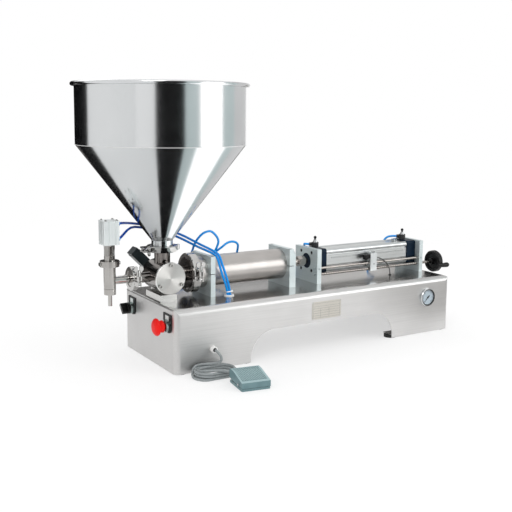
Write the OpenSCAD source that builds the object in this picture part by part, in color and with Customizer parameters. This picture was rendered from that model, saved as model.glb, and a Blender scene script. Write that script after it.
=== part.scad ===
// Piston filling machine: a hopper feeds a three-way valve, a piston draws the
// product in and pushes it out through a shut-off nozzle. An air cylinder drives
// the piston, a foot switch on a cable starts the stroke.
// +X runs along the machine from the nozzle to the handwheel, +Y to the back, +Z up.

/* [Base cabinet] */
// Length of the sheet steel base
base_l = 850; // [800:1:900]
// Depth of the base from front to back
base_w = 290; // [270:1:330]
// Height of the base top above the floor
base_h = 152.5; // [145:0.5:170]
// Thickness of the stainless sheet
sheet_t = 2; // [1.5:0.1:3]
// Radius of the long top bends and the upright corners
bend_r = 14; // [8:1:18]
// Radius of the welded and polished edge at the left end
end_edge_r = 4; // [3.5:0.5:6]
// Radius of the bend at the right end
right_bend_r = 14; // [8:1:18]
// Gap between the sheet's lower edge and the floor
skirt_gap = 1.5; // [1:0.5:4]
// Length of the left leg, under the valve
left_leg_l = 202; // [190:1:230]
// Length of the right leg, under the handwheel
right_leg_l = 205; // [180:1:230]
// Height of the arch between the legs
arch_h = 76; // [60:1:90]
// Corner radius of the arch
arch_r = 66; // [45:1:70]
// Width of the strips that the feet are screwed to
strip_w = 36; // [34:1:45]
// Radius of a rubber foot
foot_r = 16; // [12:0.5:18]
// Height of a rubber foot
foot_h = 8; // [6:0.5:14]
// Distance of the filling axis behind the front panel
axis_inset = 136; // [130:1:150]
// Height of the filling axis above the base top
axis_h = 55.5; // [53:0.5:62]

/* [Hopper] */
// Outside radius of the hopper
hopper_r = 200; // [170:1:220]
// Wall thickness of the hopper
hopper_t = 1.5; // [1.2:0.1:3]
// Height of the straight upper wall
hopper_wall_h = 134; // [80:1:180]
// Height of the cone
cone_h = 228; // [180:1:260]
// Radius of the rim that is rolled over a wire
rim_r = 4.75; // [3.5:0.25:6]
// Outside radius of the hopper's outlet tube
hopper_tube_r = 25.5; // [23:0.5:26]
// Radius of the flange under the hopper
hopper_flange_r = 32; // [31:0.5:34]
// Distance of the hopper axis from the left end of the base
valve_inset = 33; // [30:1:36]
// Height of the hopper joint above the filling axis
hopper_joint_h = 67; // [64:0.5:75]
// Height of the outlet tube between its flange and the cone
hopper_neck_h = 19; // [16:0.5:25]

/* [Clamps] */
// Thickness of a clamp flange at its rim
flange_t = 2.85; // [2:0.05:4]
// Thickness of the gasket between two flanges
gasket_t = 1.6; // [1.2:0.1:2.2]
// Width of the small clamps along their axis
clamp_w = 14; // [13:0.5:16]
// Width of the large clamp on the filling cylinder
head_clamp_w = 20; // [18:0.5:22]
// Thickness of a clamp over its flange
clamp_wall = 5.5; // [4.5:0.1:7]
// Radius of a swing bolt
swing_bolt_r = 2.5; // [2:0.1:3]
// Height of the clamp lug under the wing nut
lug_h = 12; // [10:0.5:14]
// Length of the hub of a wing nut
nut_hub_l = 13; // [10:0.5:16]
// Radius of each wing of a wing nut
wing_r = 6.5; // [5:0.5:8]

/* [Valve] */
// Outside radius of the valve body
valve_r = 36; // [35:0.5:37]
// Radius of the rotor
rotor_r = 27; // [25:0.5:29]
// Radius of the valve's passages
port_r = 14; // [11:0.5:15]
// Radius of the valve cover
cover_r = 38.5; // [38:0.5:40]
// Thickness of the valve cover
cover_t = 6; // [5:0.5:8]
// Thickness of the body flange behind the cover
body_flange_t = 4; // [3:0.5:6]
// Distance of the cover's back face in front of the axis
cover_front = 42; // [40:0.5:44]
// Distance of the body's back face behind the axis
valve_back = 41; // [38:0.5:44]
// Thickness of the body's back wall
valve_wall = 8; // [6:0.5:10]
// Radius of the rotor's stem
stem_r = 8; // [6:0.5:9]
// Outside radius of the neck that carries the hopper
neck_r = 19; // [17:0.5:22]
// Outside radius of the outlet stub
outlet_r = 12.5; // [11:0.5:14]
// Radius of the passage in the outlet
outlet_bore_r = 7; // [5:0.5:8]
// Radius of the flanges at the outlet
outlet_flange_r = 23; // [21:0.5:25]
// Distance of the outlet joint from the valve axis
outlet_reach = 78; // [72:0.5:84]
// Width of the block under the valve
block_w = 43; // [38:1:46]
// Height of the block under the valve
block_h = 16.5; // [14:0.5:18]
// Shift of the block's middle from the valve axis, towards the nozzle
block_shift = 4.5; // [0:0.5:6]
// Length of the adapter between valve and actuator
adapter_l = 21; // [18:1:26]
// Radius of the adapter between valve and actuator
adapter_r = 22; // [18:0.5:24]
// Width of the rotary actuator
actuator_w = 24; // [22:0.5:28]
// Depth of the rotary actuator
actuator_d = 30; // [26:0.5:34]
// Length of the rotary actuator
actuator_l = 116; // [100:1:122]
// Shift of the actuator's middle away from the valve axis, along its length
actuator_shift = 12; // [6:1:14]
// Tilt of the rotary actuator from level
actuator_tilt = 45; // [30:1:60]
// Offset of the actuator's body from the valve axis
actuator_offset = 6; // [2:0.5:8]

/* [Nozzle] */
// Distance of the nozzle from the valve axis
nozzle_reach = 134; // [130:1:150]
// Radius of the nozzle body
nozzle_r = 14; // [13:0.5:16]
// Height of the nozzle body above the filling axis
nozzle_up = 34; // [31:0.5:40]
// Depth of the nozzle body below the filling axis
nozzle_down = 32; // [28:0.5:40]
// Outside radius of the outlet tip
tip_r = 4.8; // [4:0.1:7]
// Bore radius of the outlet tip
tip_bore_r = 3.4; // [2.5:0.1:3.8]
// Length of the outlet tip
tip_l = 27.5; // [20:0.5:40]
// Outside radius of the tube between the outlet joint and the nozzle
spout_r = 9.5; // [8.5:0.5:11]
// Radius of the yoke's flange
yoke_flange_r = 22.5; // [20:0.5:25]
// Thickness of the yoke's flange
yoke_flange_t = 14; // [10:0.5:16]
// Outside radius of the slotted yoke
yoke_r = 12.5; // [11.5:0.5:14]
// Height of the slotted yoke
yoke_h = 38; // [30:0.5:46]
// Width of the yoke's slots
yoke_slot_w = 11; // [9.5:0.5:12]
// Side of the nozzle's air cylinder
nozzle_cyl_w = 38; // [34:0.5:42]
// Height of the nozzle's air cylinder
nozzle_cyl_h = 56; // [50:0.5:64]
// Radius of the plunger rod
plunger_r = 4; // [3:0.1:4.5]
// Opening travel of the plunger
plunger_travel = 12; // [8:0.5:14]

/* [Filling cylinder] */
// Outside radius of the filling tube
tube_r = 39; // [38:0.1:40]
// Wall thickness of the filling tube
tube_t = 3; // [2.5:0.1:4]
// Radius of the flanges on the filling cylinder
head_flange_r = 43.5; // [43:0.1:45]
// Thickness of the cylinder head in front of its flange
head_t = 11; // [9:0.5:13]
// Distance of the head's left face from the left end of the base
head_at = 95; // [93:0.5:97]
// Length of the piston
piston_l = 34; // [28:1:40]
// Distance of the parked piston from the tube's right end
piston_park = 10; // [6:1:20]
// Radius of the piston rod
rod_r = 8; // [7:0.1:9]
// Distance across the flats of the rod coupling
coupling_flats = 24; // [22:0.5:27]
// Length of the rod coupling
coupling_l = 22; // [16:1:26]
// Gap between the parked coupling and the cylinder's nose
coupling_park = 9; // [6:1:14]
// Radial clearance of running fits
run_gap = 0.08; // [0.04:0.01:0.1]

/* [Brackets] */
// Distance of the first bracket from the left end of the base
bracket_at = 138.5; // [136:0.5:141]
// Thickness of the two split brackets
bracket_t = 12.5; // [10:0.5:15]
// Width of the brackets and plates
bracket_w = 102; // [100:1:110]
// Height of the split brackets above the filling axis
bracket_up = 44; // [43:0.5:48]
// Distance between the two split brackets
tube_span = 217; // [190:1:230]
// Gap between the halves of a split bracket
split_gap = 1.8; // [0.6:0.1:2]
// Thickness of the tube's end plate
end_plate_t = 6.5; // [6:0.5:12]
// Height of the end plate above the filling axis
end_plate_up = 42; // [38:0.5:44]
// Radius of the hole in the end plate
end_plate_hole_r = 17; // [16.5:0.5:24]
// Chamfer on the upper corners of the end plate
end_plate_chamfer = 12; // [4:0.5:14]
// Free length of rod between the end plate and the front plate
rod_span = 68.5; // [64:0.5:80]
// Thickness of the plate in front of the air cylinder
front_plate_t = 13.5; // [10:0.5:15]
// Thickness of the plate behind the air cylinder
rear_plate_t = 12.5; // [10:0.5:15]
// Height of the air cylinder's plates above the filling axis
plate_up = 35.5; // [34.5:0.5:40]
// Radius of a cap screw's head
screw_head_r = 4.5; // [4:0.1:5]
// Radius of a cap screw's shank
screw_r = 3; // [2.5:0.1:3.5]

/* [Air cylinder] */
// Side of the square end caps
cap_w = 65; // [62:0.5:68]
// Corner radius of the end caps
cap_corner_r = 7; // [4:0.5:10]
// Length of the front cap
cap_front_l = 30; // [26:0.5:34]
// Length of the rear cap
cap_rear_l = 30; // [24:0.5:34]
// Distance of the rear plate from the right end of the base
rear_inset = 24.5; // [20:0.5:30]
// Side of the cylinder tube's profile
air_tube_w = 62; // [60:0.5:62]
// Radius of the four corner lobes of the profile
lobe_r = 8; // [7:0.5:9]
// Bore radius of the air cylinder
air_bore_r = 25; // [22:0.5:26]
// Radius of the cap's round nose
nose_r = 20; // [17:0.5:20]
// Distance of the cylinder screws from the axis, along Y and Z
screw_pitch = 24; // [23.5:0.5:25]
// Length of the air piston
air_piston_l = 56; // [40:1:60]
// Distance of the parked air piston from the rear cap
air_piston_park = 8; // [4:1:20]
// Distance of each speed control valve from the inner end of its cap
speed_inset = 15.5; // [10:0.5:16]
// Radius of a speed control valve's body
speed_r = 9.5; // [7:0.5:10]
// Height of a speed control valve's body
speed_h = 12.5; // [11:0.5:16]
// Turn of the speed controls' hose ends towards the back
speed_turn = 50; // [30:1:60]
// Radius of the ball on a speed control's stem
ball_r = 4; // [3.5:0.5:6]

/* [Stroke adjuster] */
// Distance of both adjuster rods in front of the axis
adjust_y = 41; // [40.5:0.5:43]
// Distance of the guide rod below the axis
guide_drop = 16; // [14:0.5:19]
// Distance of the lead screw below the axis
screw_drop = 32; // [31:0.5:34]
// Radius of the guide rod and the lead screw
adjust_r = 4; // [3.5:0.1:4.5]
// Width of the carriage along the rods
carriage_w = 22; // [18:1:28]
// Height of the carriage
carriage_h = 48; // [42:0.5:52]
// Depth of the carriage from front to back
carriage_d = 16; // [14:0.5:17]
// Distance of the carriage from the front plate
carriage_at = 167; // [140:1:190]
// Gap between the rear plate and the handwheel
wheel_gap = 44.5; // [32:0.5:48]
// Outside radius of the handwheel
wheel_r = 31; // [28:0.5:36]
// Width of the handwheel's rim
wheel_w = 18; // [16:0.5:22]
// Radius of the circle that the grip turns on
grip_at = 23; // [19:0.5:24]
// Length of the revolving grip
grip_l = 28; // [24:1:48]
// Largest radius of the revolving grip
grip_r = 7; // [5.5:0.5:7.5]

/* [Front and end fittings] */
// Distance of the gauge from the right end of the base
gauge_inset = 84; // [60:1:90]
// Height of the gauge above the floor
gauge_z = 100; // [92:1:108]
// Radius of the gauge's bezel
gauge_r = 25; // [22:0.5:28]
// Depth of the gauge's bezel in front of the panel
bezel_d = 8; // [6:0.5:12]
// Width of the nameplate
plate_w = 90; // [70:1:100]
// Height of the nameplate
plate_h = 45; // [35:1:50]
// Height of the emergency stop and the switch above the floor
button_z = 110.5; // [104:0.5:116]
// Distance of the emergency stop from the front panel
estop_inset = 37; // [34:1:45]
// Distance of the power switch from the back panel
switch_inset = 47; // [38:1:60]
// Width of the black legend plates
legend_w = 42; // [38:1:44]
// Radius of the emergency stop's mushroom head
mushroom_r = 20.5; // [17:0.5:22]
// Travel of the emergency stop
estop_travel = 4; // [3:0.5:5]
// Distance of the cable gland from the left end of the base
gland_at = 98.5; // [90:0.5:105]
// Height of the cable gland above the floor
gland_z = 50; // [45:0.5:56]
// Outside radius of the gland's nut
gland_r = 8; // [7:0.5:10]

/* [Foot switch] */
// Width of the foot switch
pedal_w = 68; // [64:1:72]
// Depth of the foot switch
pedal_d = 76; // [72:1:80]
// Height of the toe end above the floor
toe_h = 32; // [30:0.5:34]
// Height of the heel end above the floor
heel_h = 19; // [18:0.5:21]
// Thickness of the pedal's moulded skin
pedal_t = 2.5; // [2:0.1:3]
// Turn of the foot switch against the base
pedal_turn = -9; // [-11:0.5:-7]

/* [Hidden] */
$fn = 96;

// Places along the machine, counted from the left end of the base
bracket_b_at = bracket_at + bracket_t + tube_span;
end_plate_at = bracket_b_at + bracket_t;
front_plate_at = end_plate_at + end_plate_t + rod_span;
cylinder_at = front_plate_at + front_plate_t;
air_tube_at = cylinder_at + cap_front_l;
rear_plate_at = base_l - rear_inset - rear_plate_t;
cap_rear_at = rear_plate_at - cap_rear_l;
air_tube_l = cap_rear_at - air_tube_at;
wheel_at = rear_plate_at + rear_plate_t + wheel_gap;
grip_gap = 2;
wheel_end = wheel_at + wheel_w + grip_gap + grip_l;
rim_lap = 0.5;
hopper_end = valve_inset - hopper_r - 2 * rim_r + rim_lap;

// The origin is on the floor, under the filling axis, at the middle of the whole length
end_x = -(wheel_end + hopper_end) / 2;
mid_x = end_x + base_l / 2;
front_y = -axis_inset;
back_y = base_w - axis_inset;
axis_z = base_h + axis_h;
valve_x = end_x + valve_inset;
head_x = end_x + head_at;
bracket_x = end_x + bracket_at;
bracket_b_x = end_x + bracket_b_at;
end_plate_x = end_x + end_plate_at;
front_plate_x = end_x + front_plate_at;
cylinder_x = end_x + cylinder_at;
air_tube_x = end_x + air_tube_at;
cap_rear_x = end_x + cap_rear_at;
rear_plate_x = end_x + rear_plate_at;
wheel_x = end_x + wheel_at;
nozzle_x = valve_x - nozzle_reach;
outlet_x = valve_x - outlet_reach;
joint_z = axis_z + hopper_joint_h;

// Clearances and small steps
seat_gap = 0.1;
free_gap = 0.3;
through = 1;
flange_slope = tan(20);
flange_depth = 4.5;

// Filling tube and piston
tube_bore_r = tube_r - tube_t;
head_joint_x = head_x + head_t + gasket_t / 2;
tube_x = head_joint_x + gasket_t / 2;
piston_x = end_plate_x - piston_park - piston_l;
seal_w = 5;
seal_depth = 3;
rod_socket = 14;
coupling_x = front_plate_x - coupling_park - coupling_l;
air_piston_x = cap_rear_x - air_piston_park - air_piston_l;

// Nozzle heights
nozzle_top = axis_z + nozzle_up;
nozzle_foot = axis_z - nozzle_down;
yoke_top = nozzle_top + yoke_flange_t + yoke_h;
nozzle_floor = nozzle_foot + 8;
nozzle_cavity_r = nozzle_r - 4;
seat_h = 6;

// Boxes and prisms with true round corners
module round_rect(a, b, r) {
    square([a - 2 * r, b], center = true);
    square([a, b - 2 * r], center = true);
    for (sx = [-1, 1], sy = [-1, 1])
        translate([sx * (a / 2 - r), sy * (b / 2 - r)]) circle(r);
}

module along_x() { rotate([0, 90, 0]) children(); }
module along_y() { rotate([-90, 0, 0]) children(); }

module rod_x(x, y, z, r, l) { translate([x, y, z]) along_x() cylinder(r = r, h = l); }
module rod_y(x, y, z, r, l) { translate([x, y, z]) along_y() cylinder(r = r, h = l); }

// A plate that stands across the machine, with its left face at x
module cross_plate(x, t, z_low, z_high) {
    translate([x, -bracket_w / 2, z_low]) cube([t, bracket_w, z_high - z_low]);
}

// Smooth curve through a list of points, n steps between each pair
function pick(p, i) = p[max(0, min(len(p) - 1, i))];
function spline_point(a, b, c, d, t) =
    0.5 * (2 * b + (c - a) * t + (2 * a - 5 * b + 4 * c - d) * t * t
        + (3 * b - a - 3 * c + d) * t * t * t);
function spline(p, n) = concat(
    [for (i = [0 : len(p) - 2], k = [0 : n - 1])
        spline_point(pick(p, i - 1), p[i], p[i + 1], pick(p, i + 2), k / n)],
    [p[len(p) - 1]]);
function unit(v) = v / norm(v);
function tangent(p, i) = unit(pick(p, i + 1) - pick(p, i - 1));
function flat_to(v, t) = unit(v - (v * t) * t);
function normals(p, i, v) =
    i == len(p) ? [] : let (n = flat_to(v, tangent(p, i))) concat([n], normals(p, i + 1, n));

// A round hose or cable swept along the points p
module sweep(p, r, sides) {
    rings = normals(p, 0, [0.3, 0.2, 1]);
    verts = [for (i = [0 : len(p) - 1], k = [0 : sides - 1])
        let (n = rings[i], b = cross(tangent(p, i), n), a = 360 * k / sides)
        p[i] + r * (cos(a) * n + sin(a) * b)];
    walls = [for (i = [0 : len(p) - 2], k = [0 : sides - 1])
        let (m = (k + 1) % sides, u = i * sides, v = u + sides) [u + k, v + k, v + m, u + m]];
    start = [for (k = [0 : sides - 1]) k];
    end = [for (k = [sides - 1 : -1 : 0]) (len(p) - 1) * sides + k];
    polyhedron(verts, concat([start, end], walls));
}

// Base: one folded and welded sheet form, open below, with an arch front and back
module base_form(inset) {
    l = base_l - 2 * inset;
    w = base_w - 2 * inset;
    h = base_h - inset;
    intersection() {
        translate([0, 0, -through]) linear_extrude(h + through) round_rect(l, w, bend_r - inset);
        rotate([90, 0, 90]) linear_extrude(l + 2, center = true) round_rect(w, 2 * h, bend_r - inset);
        rotate([90, 0, 0]) linear_extrude(w + 2, center = true)
            end_outline(l, h, end_edge_r - inset / 2, right_bend_r - inset);
    }
}

// The base seen from the front, with its top corners rounded
module end_outline(l, h, left_r, right_r) {
    translate([-l / 2, -through]) square([l, h + through - max(left_r, right_r)]);
    translate([left_r - l / 2, 0]) square([l - left_r - right_r, h]);
    translate([-l / 2, 0]) square([left_r, h - left_r]);
    translate([left_r - l / 2, h - left_r]) circle(left_r);
    translate([l / 2 - right_r, h - right_r]) circle(right_r);
}

module arch_form() {
    span = base_l - left_leg_l - right_leg_l;
    translate([left_leg_l, -through]) square([span, arch_h - arch_r + through]);
    translate([left_leg_l + arch_r, -through]) square([span - 2 * arch_r, arch_h + through]);
    for (x = [left_leg_l + arch_r, base_l - right_leg_l - arch_r])
        translate([x, arch_h - arch_r]) circle(arch_r);
}

module base_place() { translate([mid_x, front_y + base_w / 2, 0]) children(); }

grommet_x = end_x + 187;
grommet_y = front_y + 81;
grommet_r = 9.5;
back_hose_y = 62;
rear_hose_y = 68;
rear_grommets = [[grommet_x, back_hose_y], [end_x + 438, rear_hose_y], [end_x + 724, rear_hose_y]];
grommet_places = concat([[grommet_x, grommet_y]], rear_grommets);
button_hole_r = 11;
gauge_x = end_x + base_l - gauge_inset;
gauge_body_r = gauge_r - 4;
gland_x = end_x + gland_at;
gland_thread_r = gland_r - 2;
estop_y = front_y + estop_inset;
switch_y = back_y - switch_inset;

module base_cabinet() {
    color("#b9bbbd") difference() {
        union() {
            base_place() difference() {
                base_form(0);
                base_form(sheet_t);
            }
            // Strips inside the skirt that the feet are screwed to
            base_place() intersection() {
                base_form(sheet_t / 2);
                for (sy = [-1, 1])
                    translate([0, sy * (base_w - strip_w) / 2, foot_h + sheet_t / 2])
                        cube([base_l, strip_w, sheet_t], center = true);
            }
        }
        translate([end_x, front_y - through, 0]) rotate([90, 0, 0]) mirror([0, 0, 1])
            linear_extrude(base_w + 2 * through) arch_form();
        base_place() translate([0, 0, skirt_gap / 2 - through])
            cube([base_l + 2, base_w + 2, skirt_gap + 2 * through], center = true);
        for (y = [estop_y, switch_y])
            rod_x(end_x - through, y, button_z, button_hole_r, sheet_t + 2 * through);
        rod_y(gauge_x, front_y - through, gauge_z, gauge_body_r + seat_gap, sheet_t + 2 * through);
        rod_y(gland_x, front_y - through, gland_z, gland_thread_r + seat_gap, sheet_t + 2 * through);
        for (g = grommet_places)
            translate([g[0], g[1], base_h - sheet_t - through])
                cylinder(r = grommet_r + seat_gap, h = sheet_t + 2 * through);
    }
}

module rubber_feet() {
    peek = 8;
    left_in = end_x + left_leg_l + peek - foot_r;
    right_in = end_x + base_l - right_leg_l - peek + foot_r;
    edge = sheet_t + 4 + foot_r;
    for (x = [end_x + edge, left_in, right_in, end_x + base_l - edge])
        for (y = [front_y + strip_w / 2, back_y - strip_w / 2])
            color("#1d1d1f") translate([x, y, 0]) cylinder(r = foot_r, h = foot_h);
}

// Bare engraved plate on the front panel
module nameplate() {
    plate_t = 0.8;
    centre_x = end_x + base_l / 2 + 0.6;
    color("#cfcdc8") translate([centre_x, front_y, base_h - 46.5]) rotate([90, 0, 0])
        linear_extrude(plate_t) round_rect(plate_w, plate_h, 4);
}

// Pressure gauge: case behind the panel, bezel in front of it
dial_recess = 3;
dial_t = 1;
module gauge_case() {
    depth = 26;
    color("#d5d8da") translate([gauge_x, front_y, gauge_z]) difference() {
        union() {
            rotate([90, 0, 0]) rotate_extrude() polygon([
                [0, 0], [gauge_r, 0], [gauge_r, bezel_d - 2], [gauge_r - 1.5, bezel_d], [0, bezel_d]]);
            along_y() cylinder(r = gauge_body_r, h = depth);
            along_y() cylinder(r = 6, h = depth + 14);
        }
        translate([0, -bezel_d - through, 0]) along_y()
            cylinder(r = gauge_r - 3, h = dial_recess + dial_t + through);
    }
}

module gauge_dial() {
    color("#eef3f5") rod_y(gauge_x, front_y - bezel_d + dial_recess, gauge_z, gauge_r - 3.1, dial_t);
}

// The needle points to the lower left, at zero
module gauge_needle() {
    needle_l = gauge_r - 8;
    needle_y = front_y - bezel_d + dial_recess - 1.1;
    color("#26262a") translate([gauge_x, needle_y, gauge_z]) {
        rod_y(0, -0.4, 0, 2.2, 1.2);
        rotate([0, -45, 0]) rotate([90, 0, 0]) linear_extrude(0.6, center = true)
            polygon([[-needle_l, 0], [0, -1.1], [7, -1.1], [7, 1.1], [0, 1.1]]);
    }
}

// Legend plates under the two operators: a label above, round corners below
legend_t = 2;
legend_down = 16;
legend_up = 28;
module legend_plates() {
    corner_r = 14;
    for (y = [estop_y, switch_y])
        color("#161617") translate([end_x - legend_t, y, button_z]) rotate([90, 0, 90])
            linear_extrude(legend_t) difference() {
                union() {
                    translate([0, (legend_up - legend_down) / 2])
                        round_rect(legend_w, legend_up + legend_down, corner_r);
                    translate([0, legend_up - corner_r]) square([legend_w, 2 * corner_r], center = true);
                }
                circle(button_hole_r + seat_gap);
            }
}

// Threaded body through the panel, with its collar outside and its contact block inside
collar_l = 8;
module operator_housing(y, collar_r, bore_r) {
    contact_l = 34;
    difference() {
        union() {
            rod_x(end_x - legend_t - collar_l, y, button_z, collar_r, collar_l);
            rod_x(end_x - legend_t, y, button_z, button_hole_r - seat_gap, legend_t + sheet_t);
            rod_x(end_x + sheet_t, y, button_z, 14, 5);
            translate([end_x + sheet_t + 5, y - 15, button_z - 14]) cube([contact_l, 30, 28]);
        }
        rod_x(end_x - legend_t - collar_l - through, y, button_z, bore_r, 24);
    }
}

stem_bore_r = 7;
collar_r = 15;
module estop_housing() { color("#aeb6b8") operator_housing(estop_y, collar_r, stem_bore_r + run_gap); }
module switch_housing() { color("#c9ccce") operator_housing(switch_y, collar_r, stem_bore_r + run_gap); }

module estop_button() {
    neck_r = 14.5;
    neck_l = 12;
    head_l = 11;
    face = end_x - legend_t - collar_l - estop_travel - free_gap;
    color("#d8211a") translate([face, estop_y, button_z]) {
        rotate([0, -90, 0]) rotate_extrude() polygon([
            [0, 0], [neck_r, 0], [neck_r - 1.5, neck_l - 4], [mushroom_r - 1, neck_l],
            [mushroom_r, neck_l + 2.5], [mushroom_r - 1, neck_l + 5], [mushroom_r - 5, neck_l + 8.5],
            [mushroom_r - 11, neck_l + head_l - 0.5], [0, neck_l + head_l]]);
        rod_x(0, 0, 0, stem_bore_r, 16);
    }
}

// Selector: a disc with a bar across it, turned to the off side
module switch_knob() {
    knob_r = collar_r - 1;
    disc_l = 6;
    bar_l = 20;
    bar_t = 9;
    face = end_x - legend_t - collar_l - free_gap;
    color("#17171a") translate([face, switch_y, button_z]) {
        rotate([0, -90, 0]) cylinder(r = knob_r, h = disc_l);
        rotate([-45, 0, 0]) rotate([0, -90, 0]) linear_extrude(bar_l) intersection() {
            square([2 * knob_r, bar_t], center = true);
            circle(knob_r);
        }
        rod_x(0, 0, 0, stem_bore_r, 14);
    }
}

// Cable gland: nut outside, lock nut inside, grey seal around the cable
gland_l = 9;
cable_r = 3;
module gland_hex(y, l) {
    translate([gland_x, y, gland_z]) along_y() cylinder(r = gland_r + 1, h = l, $fn = 6);
}
module cable_gland() {
    color("#e9eaec") difference() {
        union() {
            rod_y(gland_x, front_y - gland_l, gland_z, gland_r, gland_l);
            rod_y(gland_x, front_y - through, gland_z, gland_thread_r, sheet_t + through);
            gland_hex(front_y + sheet_t, 5);
        }
        rod_y(gland_x, front_y - gland_l - through, gland_z, cable_r + seat_gap, gland_l + 12);
    }
}

// Foot switch: base tray with end walls, hinged treadle over it
pedal_place_x = end_x + 117;
pedal_place_y = front_y - 137;
hinge_y = -pedal_d / 2 + 9;
hinge_z = 8;
hinge_r = 2.5;
tray_h = 5;
switch_block_y = 24;
module pedal_place() { translate([pedal_place_x, pedal_place_y, 0]) rotate(pedal_turn) children(); }

module pedal_side(grow) {
    polygon([
        [-pedal_d / 2 + grow, tray_h + 1], [-pedal_d / 2 + grow, heel_h - grow],
        [-pedal_d / 2 + 4, heel_h + 1 - grow], [pedal_d / 2 - 24, toe_h - 1 - grow],
        [pedal_d / 2 - 6, toe_h - grow], [pedal_d / 2 - grow, toe_h - 4 - grow],
        [pedal_d / 2 - grow, tray_h + 6], [pedal_d / 6, tray_h + 3.5]]);
}

module pedal_base() {
    wall_w = pedal_w - 2 * pedal_t - 2;
    color("#5d7477") pedal_place() difference() {
        union() {
            linear_extrude(tray_h) round_rect(pedal_w, pedal_d, 4);
            // Ears that carry the hinge pin, and the switch block
            for (s = [-1, 1])
                translate([s * (wall_w / 2 - 2), hinge_y, tray_h / 2 + 4])
                    cube([4, 12, tray_h + 8], center = true);
            translate([0, switch_block_y / 2, 10]) cube([30, switch_block_y, 12], center = true);
            rod_x(-pedal_w / 2 + 0.3, hinge_y, hinge_z, hinge_r, pedal_w - 0.6);
        }
        translate([0, pedal_d / 2 - 8, tray_h]) cube([2 * cable_r + 1, 20, 2], center = true);
    }
}

module pedal_treadle() {
    ribs = 17;
    color("#7f989b") pedal_place() difference() {
        union() {
            rotate([90, 0, 90]) linear_extrude(pedal_w, center = true) pedal_side(0);
            // Grip ribs along the tread
            for (k = [0 : ribs - 1])
                translate([(k - (ribs - 1) / 2) * (pedal_w - 12) / (ribs - 1), 0, 0]) rotate([90, 0, 90])
                    linear_extrude(1.4, center = true) polygon([
                        [-pedal_d / 2 + 8, heel_h], [pedal_d / 2 - 8, toe_h - 2],
                        [pedal_d / 2 - 9, toe_h + 0.8], [pedal_d / 2 - 24, toe_h],
                        [-pedal_d / 2 + 8, heel_h + 3.2]]);
        }
        rotate([90, 0, 90]) linear_extrude(pedal_w - 2 * pedal_t, center = true)
            translate([0, -0.01]) pedal_side(pedal_t);
        rotate([90, 0, 90]) linear_extrude(pedal_w - 2 * pedal_t, center = true)
            translate([-pedal_d / 2 + pedal_t, 0]) square([pedal_d - 2 * pedal_t, tray_h + 7]);
        rod_x(-pedal_w / 2 - through, hinge_y, hinge_z, hinge_r + run_gap, pedal_w + 2 * through);
        translate([0, pedal_d / 2, tray_h + 8]) cube([4 * cable_r, 12, 12], center = true);
    }
}

// Foot switch cable: from the gland to the coil, and from the coil to the foot switch
coil_x = end_x + 84;
coil_y = front_y - 40;
coil_half_w = 33;
coil_half_l = 53;
coil_h = 18.4;
function at_base(x, y, z) = [end_x + x, front_y + y, z];
function pedal_at(x, y, z) = [
    pedal_place_x + x * cos(pedal_turn) - y * sin(pedal_turn),
    pedal_place_y + x * sin(pedal_turn) + y * cos(pedal_turn), z];
over_coil = coil_h + cable_r + 0.2;
on_floor = cable_r + 0.05;
cable_from_gland = [
    [gland_x, front_y - gland_l - seat_gap, gland_z], [gland_x + 0.3, front_y - 16, gland_z - 0.6],
    [gland_x + 2, front_y - 24, gland_z - 4.5], [gland_x + 5, front_y - 29, gland_z - 11],
    [gland_x + 6, front_y - 30.5, gland_z - 17], at_base(102.5, -29.5, over_coil + 6.4),
    at_base(97.5, -26, over_coil + 3), at_base(89, -21, over_coil + 1.2),
    at_base(78, -16.5, over_coil + 0.4), at_base(66, -12.8, over_coil + 0.1),
    at_base(54, -10, over_coil - 0.7), at_base(45, -9.2, 17.6),
    at_base(37.5, -15.5, 12), at_base(32, -23.8, 7), at_base(28.8, -33, 3.9), at_base(27.9, -42, on_floor),
    at_base(29.7, -51.5, on_floor), at_base(34.3, -60.5, on_floor), at_base(41, -67, on_floor),
    at_base(50, -70, on_floor), at_base(60, -70, on_floor)
];
cable_to_pedal = [
    at_base(47, -56.5, over_coil - 1), at_base(53, -61, over_coil - 0.1),
    at_base(60, -64.8, over_coil + 0.1), at_base(72, -70, over_coil + 0.1),
    at_base(84, -75.6, over_coil - 0.6), at_base(94, -80.2, 18.6),
    at_base(103, -84.2, 15.2), at_base(111, -88.4, 11.8), at_base(117.5, -93.6, 9.6),
    pedal_at(-1.5, pedal_d / 2 - 0.5, 8.6), pedal_at(0, pedal_d / 2 - 7.5, 8.5),
    pedal_at(0, switch_block_y + seat_gap, 8.5)
];
module pedal_cable() {
    color("#8f9494") sweep(spline(cable_from_gland, 4), cable_r, 10);
    color("#8f9494") sweep(spline(cable_to_pedal, 4), cable_r, 10);
}

module coil_outline(w) {
    s = coil_half_l - coil_half_w;
    square([2 * s, 2 * w], center = true);
    for (sx = [-1, 1]) translate([sx * s, 0]) circle(w);
}

module pedal_coil() {
    color("#8f9494") translate([coil_x, coil_y, 0]) linear_extrude(coil_h) difference() {
        coil_outline(coil_half_w);
        coil_outline(coil_half_w - 4 * cable_r - 1);
    }
}

// White bushes that lead the hoses through the base top
grommet_bore_r = grommet_r - 1.5;
module hose_grommets() {
    for (g = grommet_places)
        color("#f2f2ef") translate([g[0], g[1], base_h]) difference() {
            union() {
                cylinder(r = grommet_r + 3, h = 2.5);
                translate([0, 0, -sheet_t - 2]) cylinder(r = grommet_r, h = sheet_t + 2);
            }
            translate([0, 0, -sheet_t - 3]) cylinder(r = grommet_bore_r, h = sheet_t + 7);
        }
}

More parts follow.
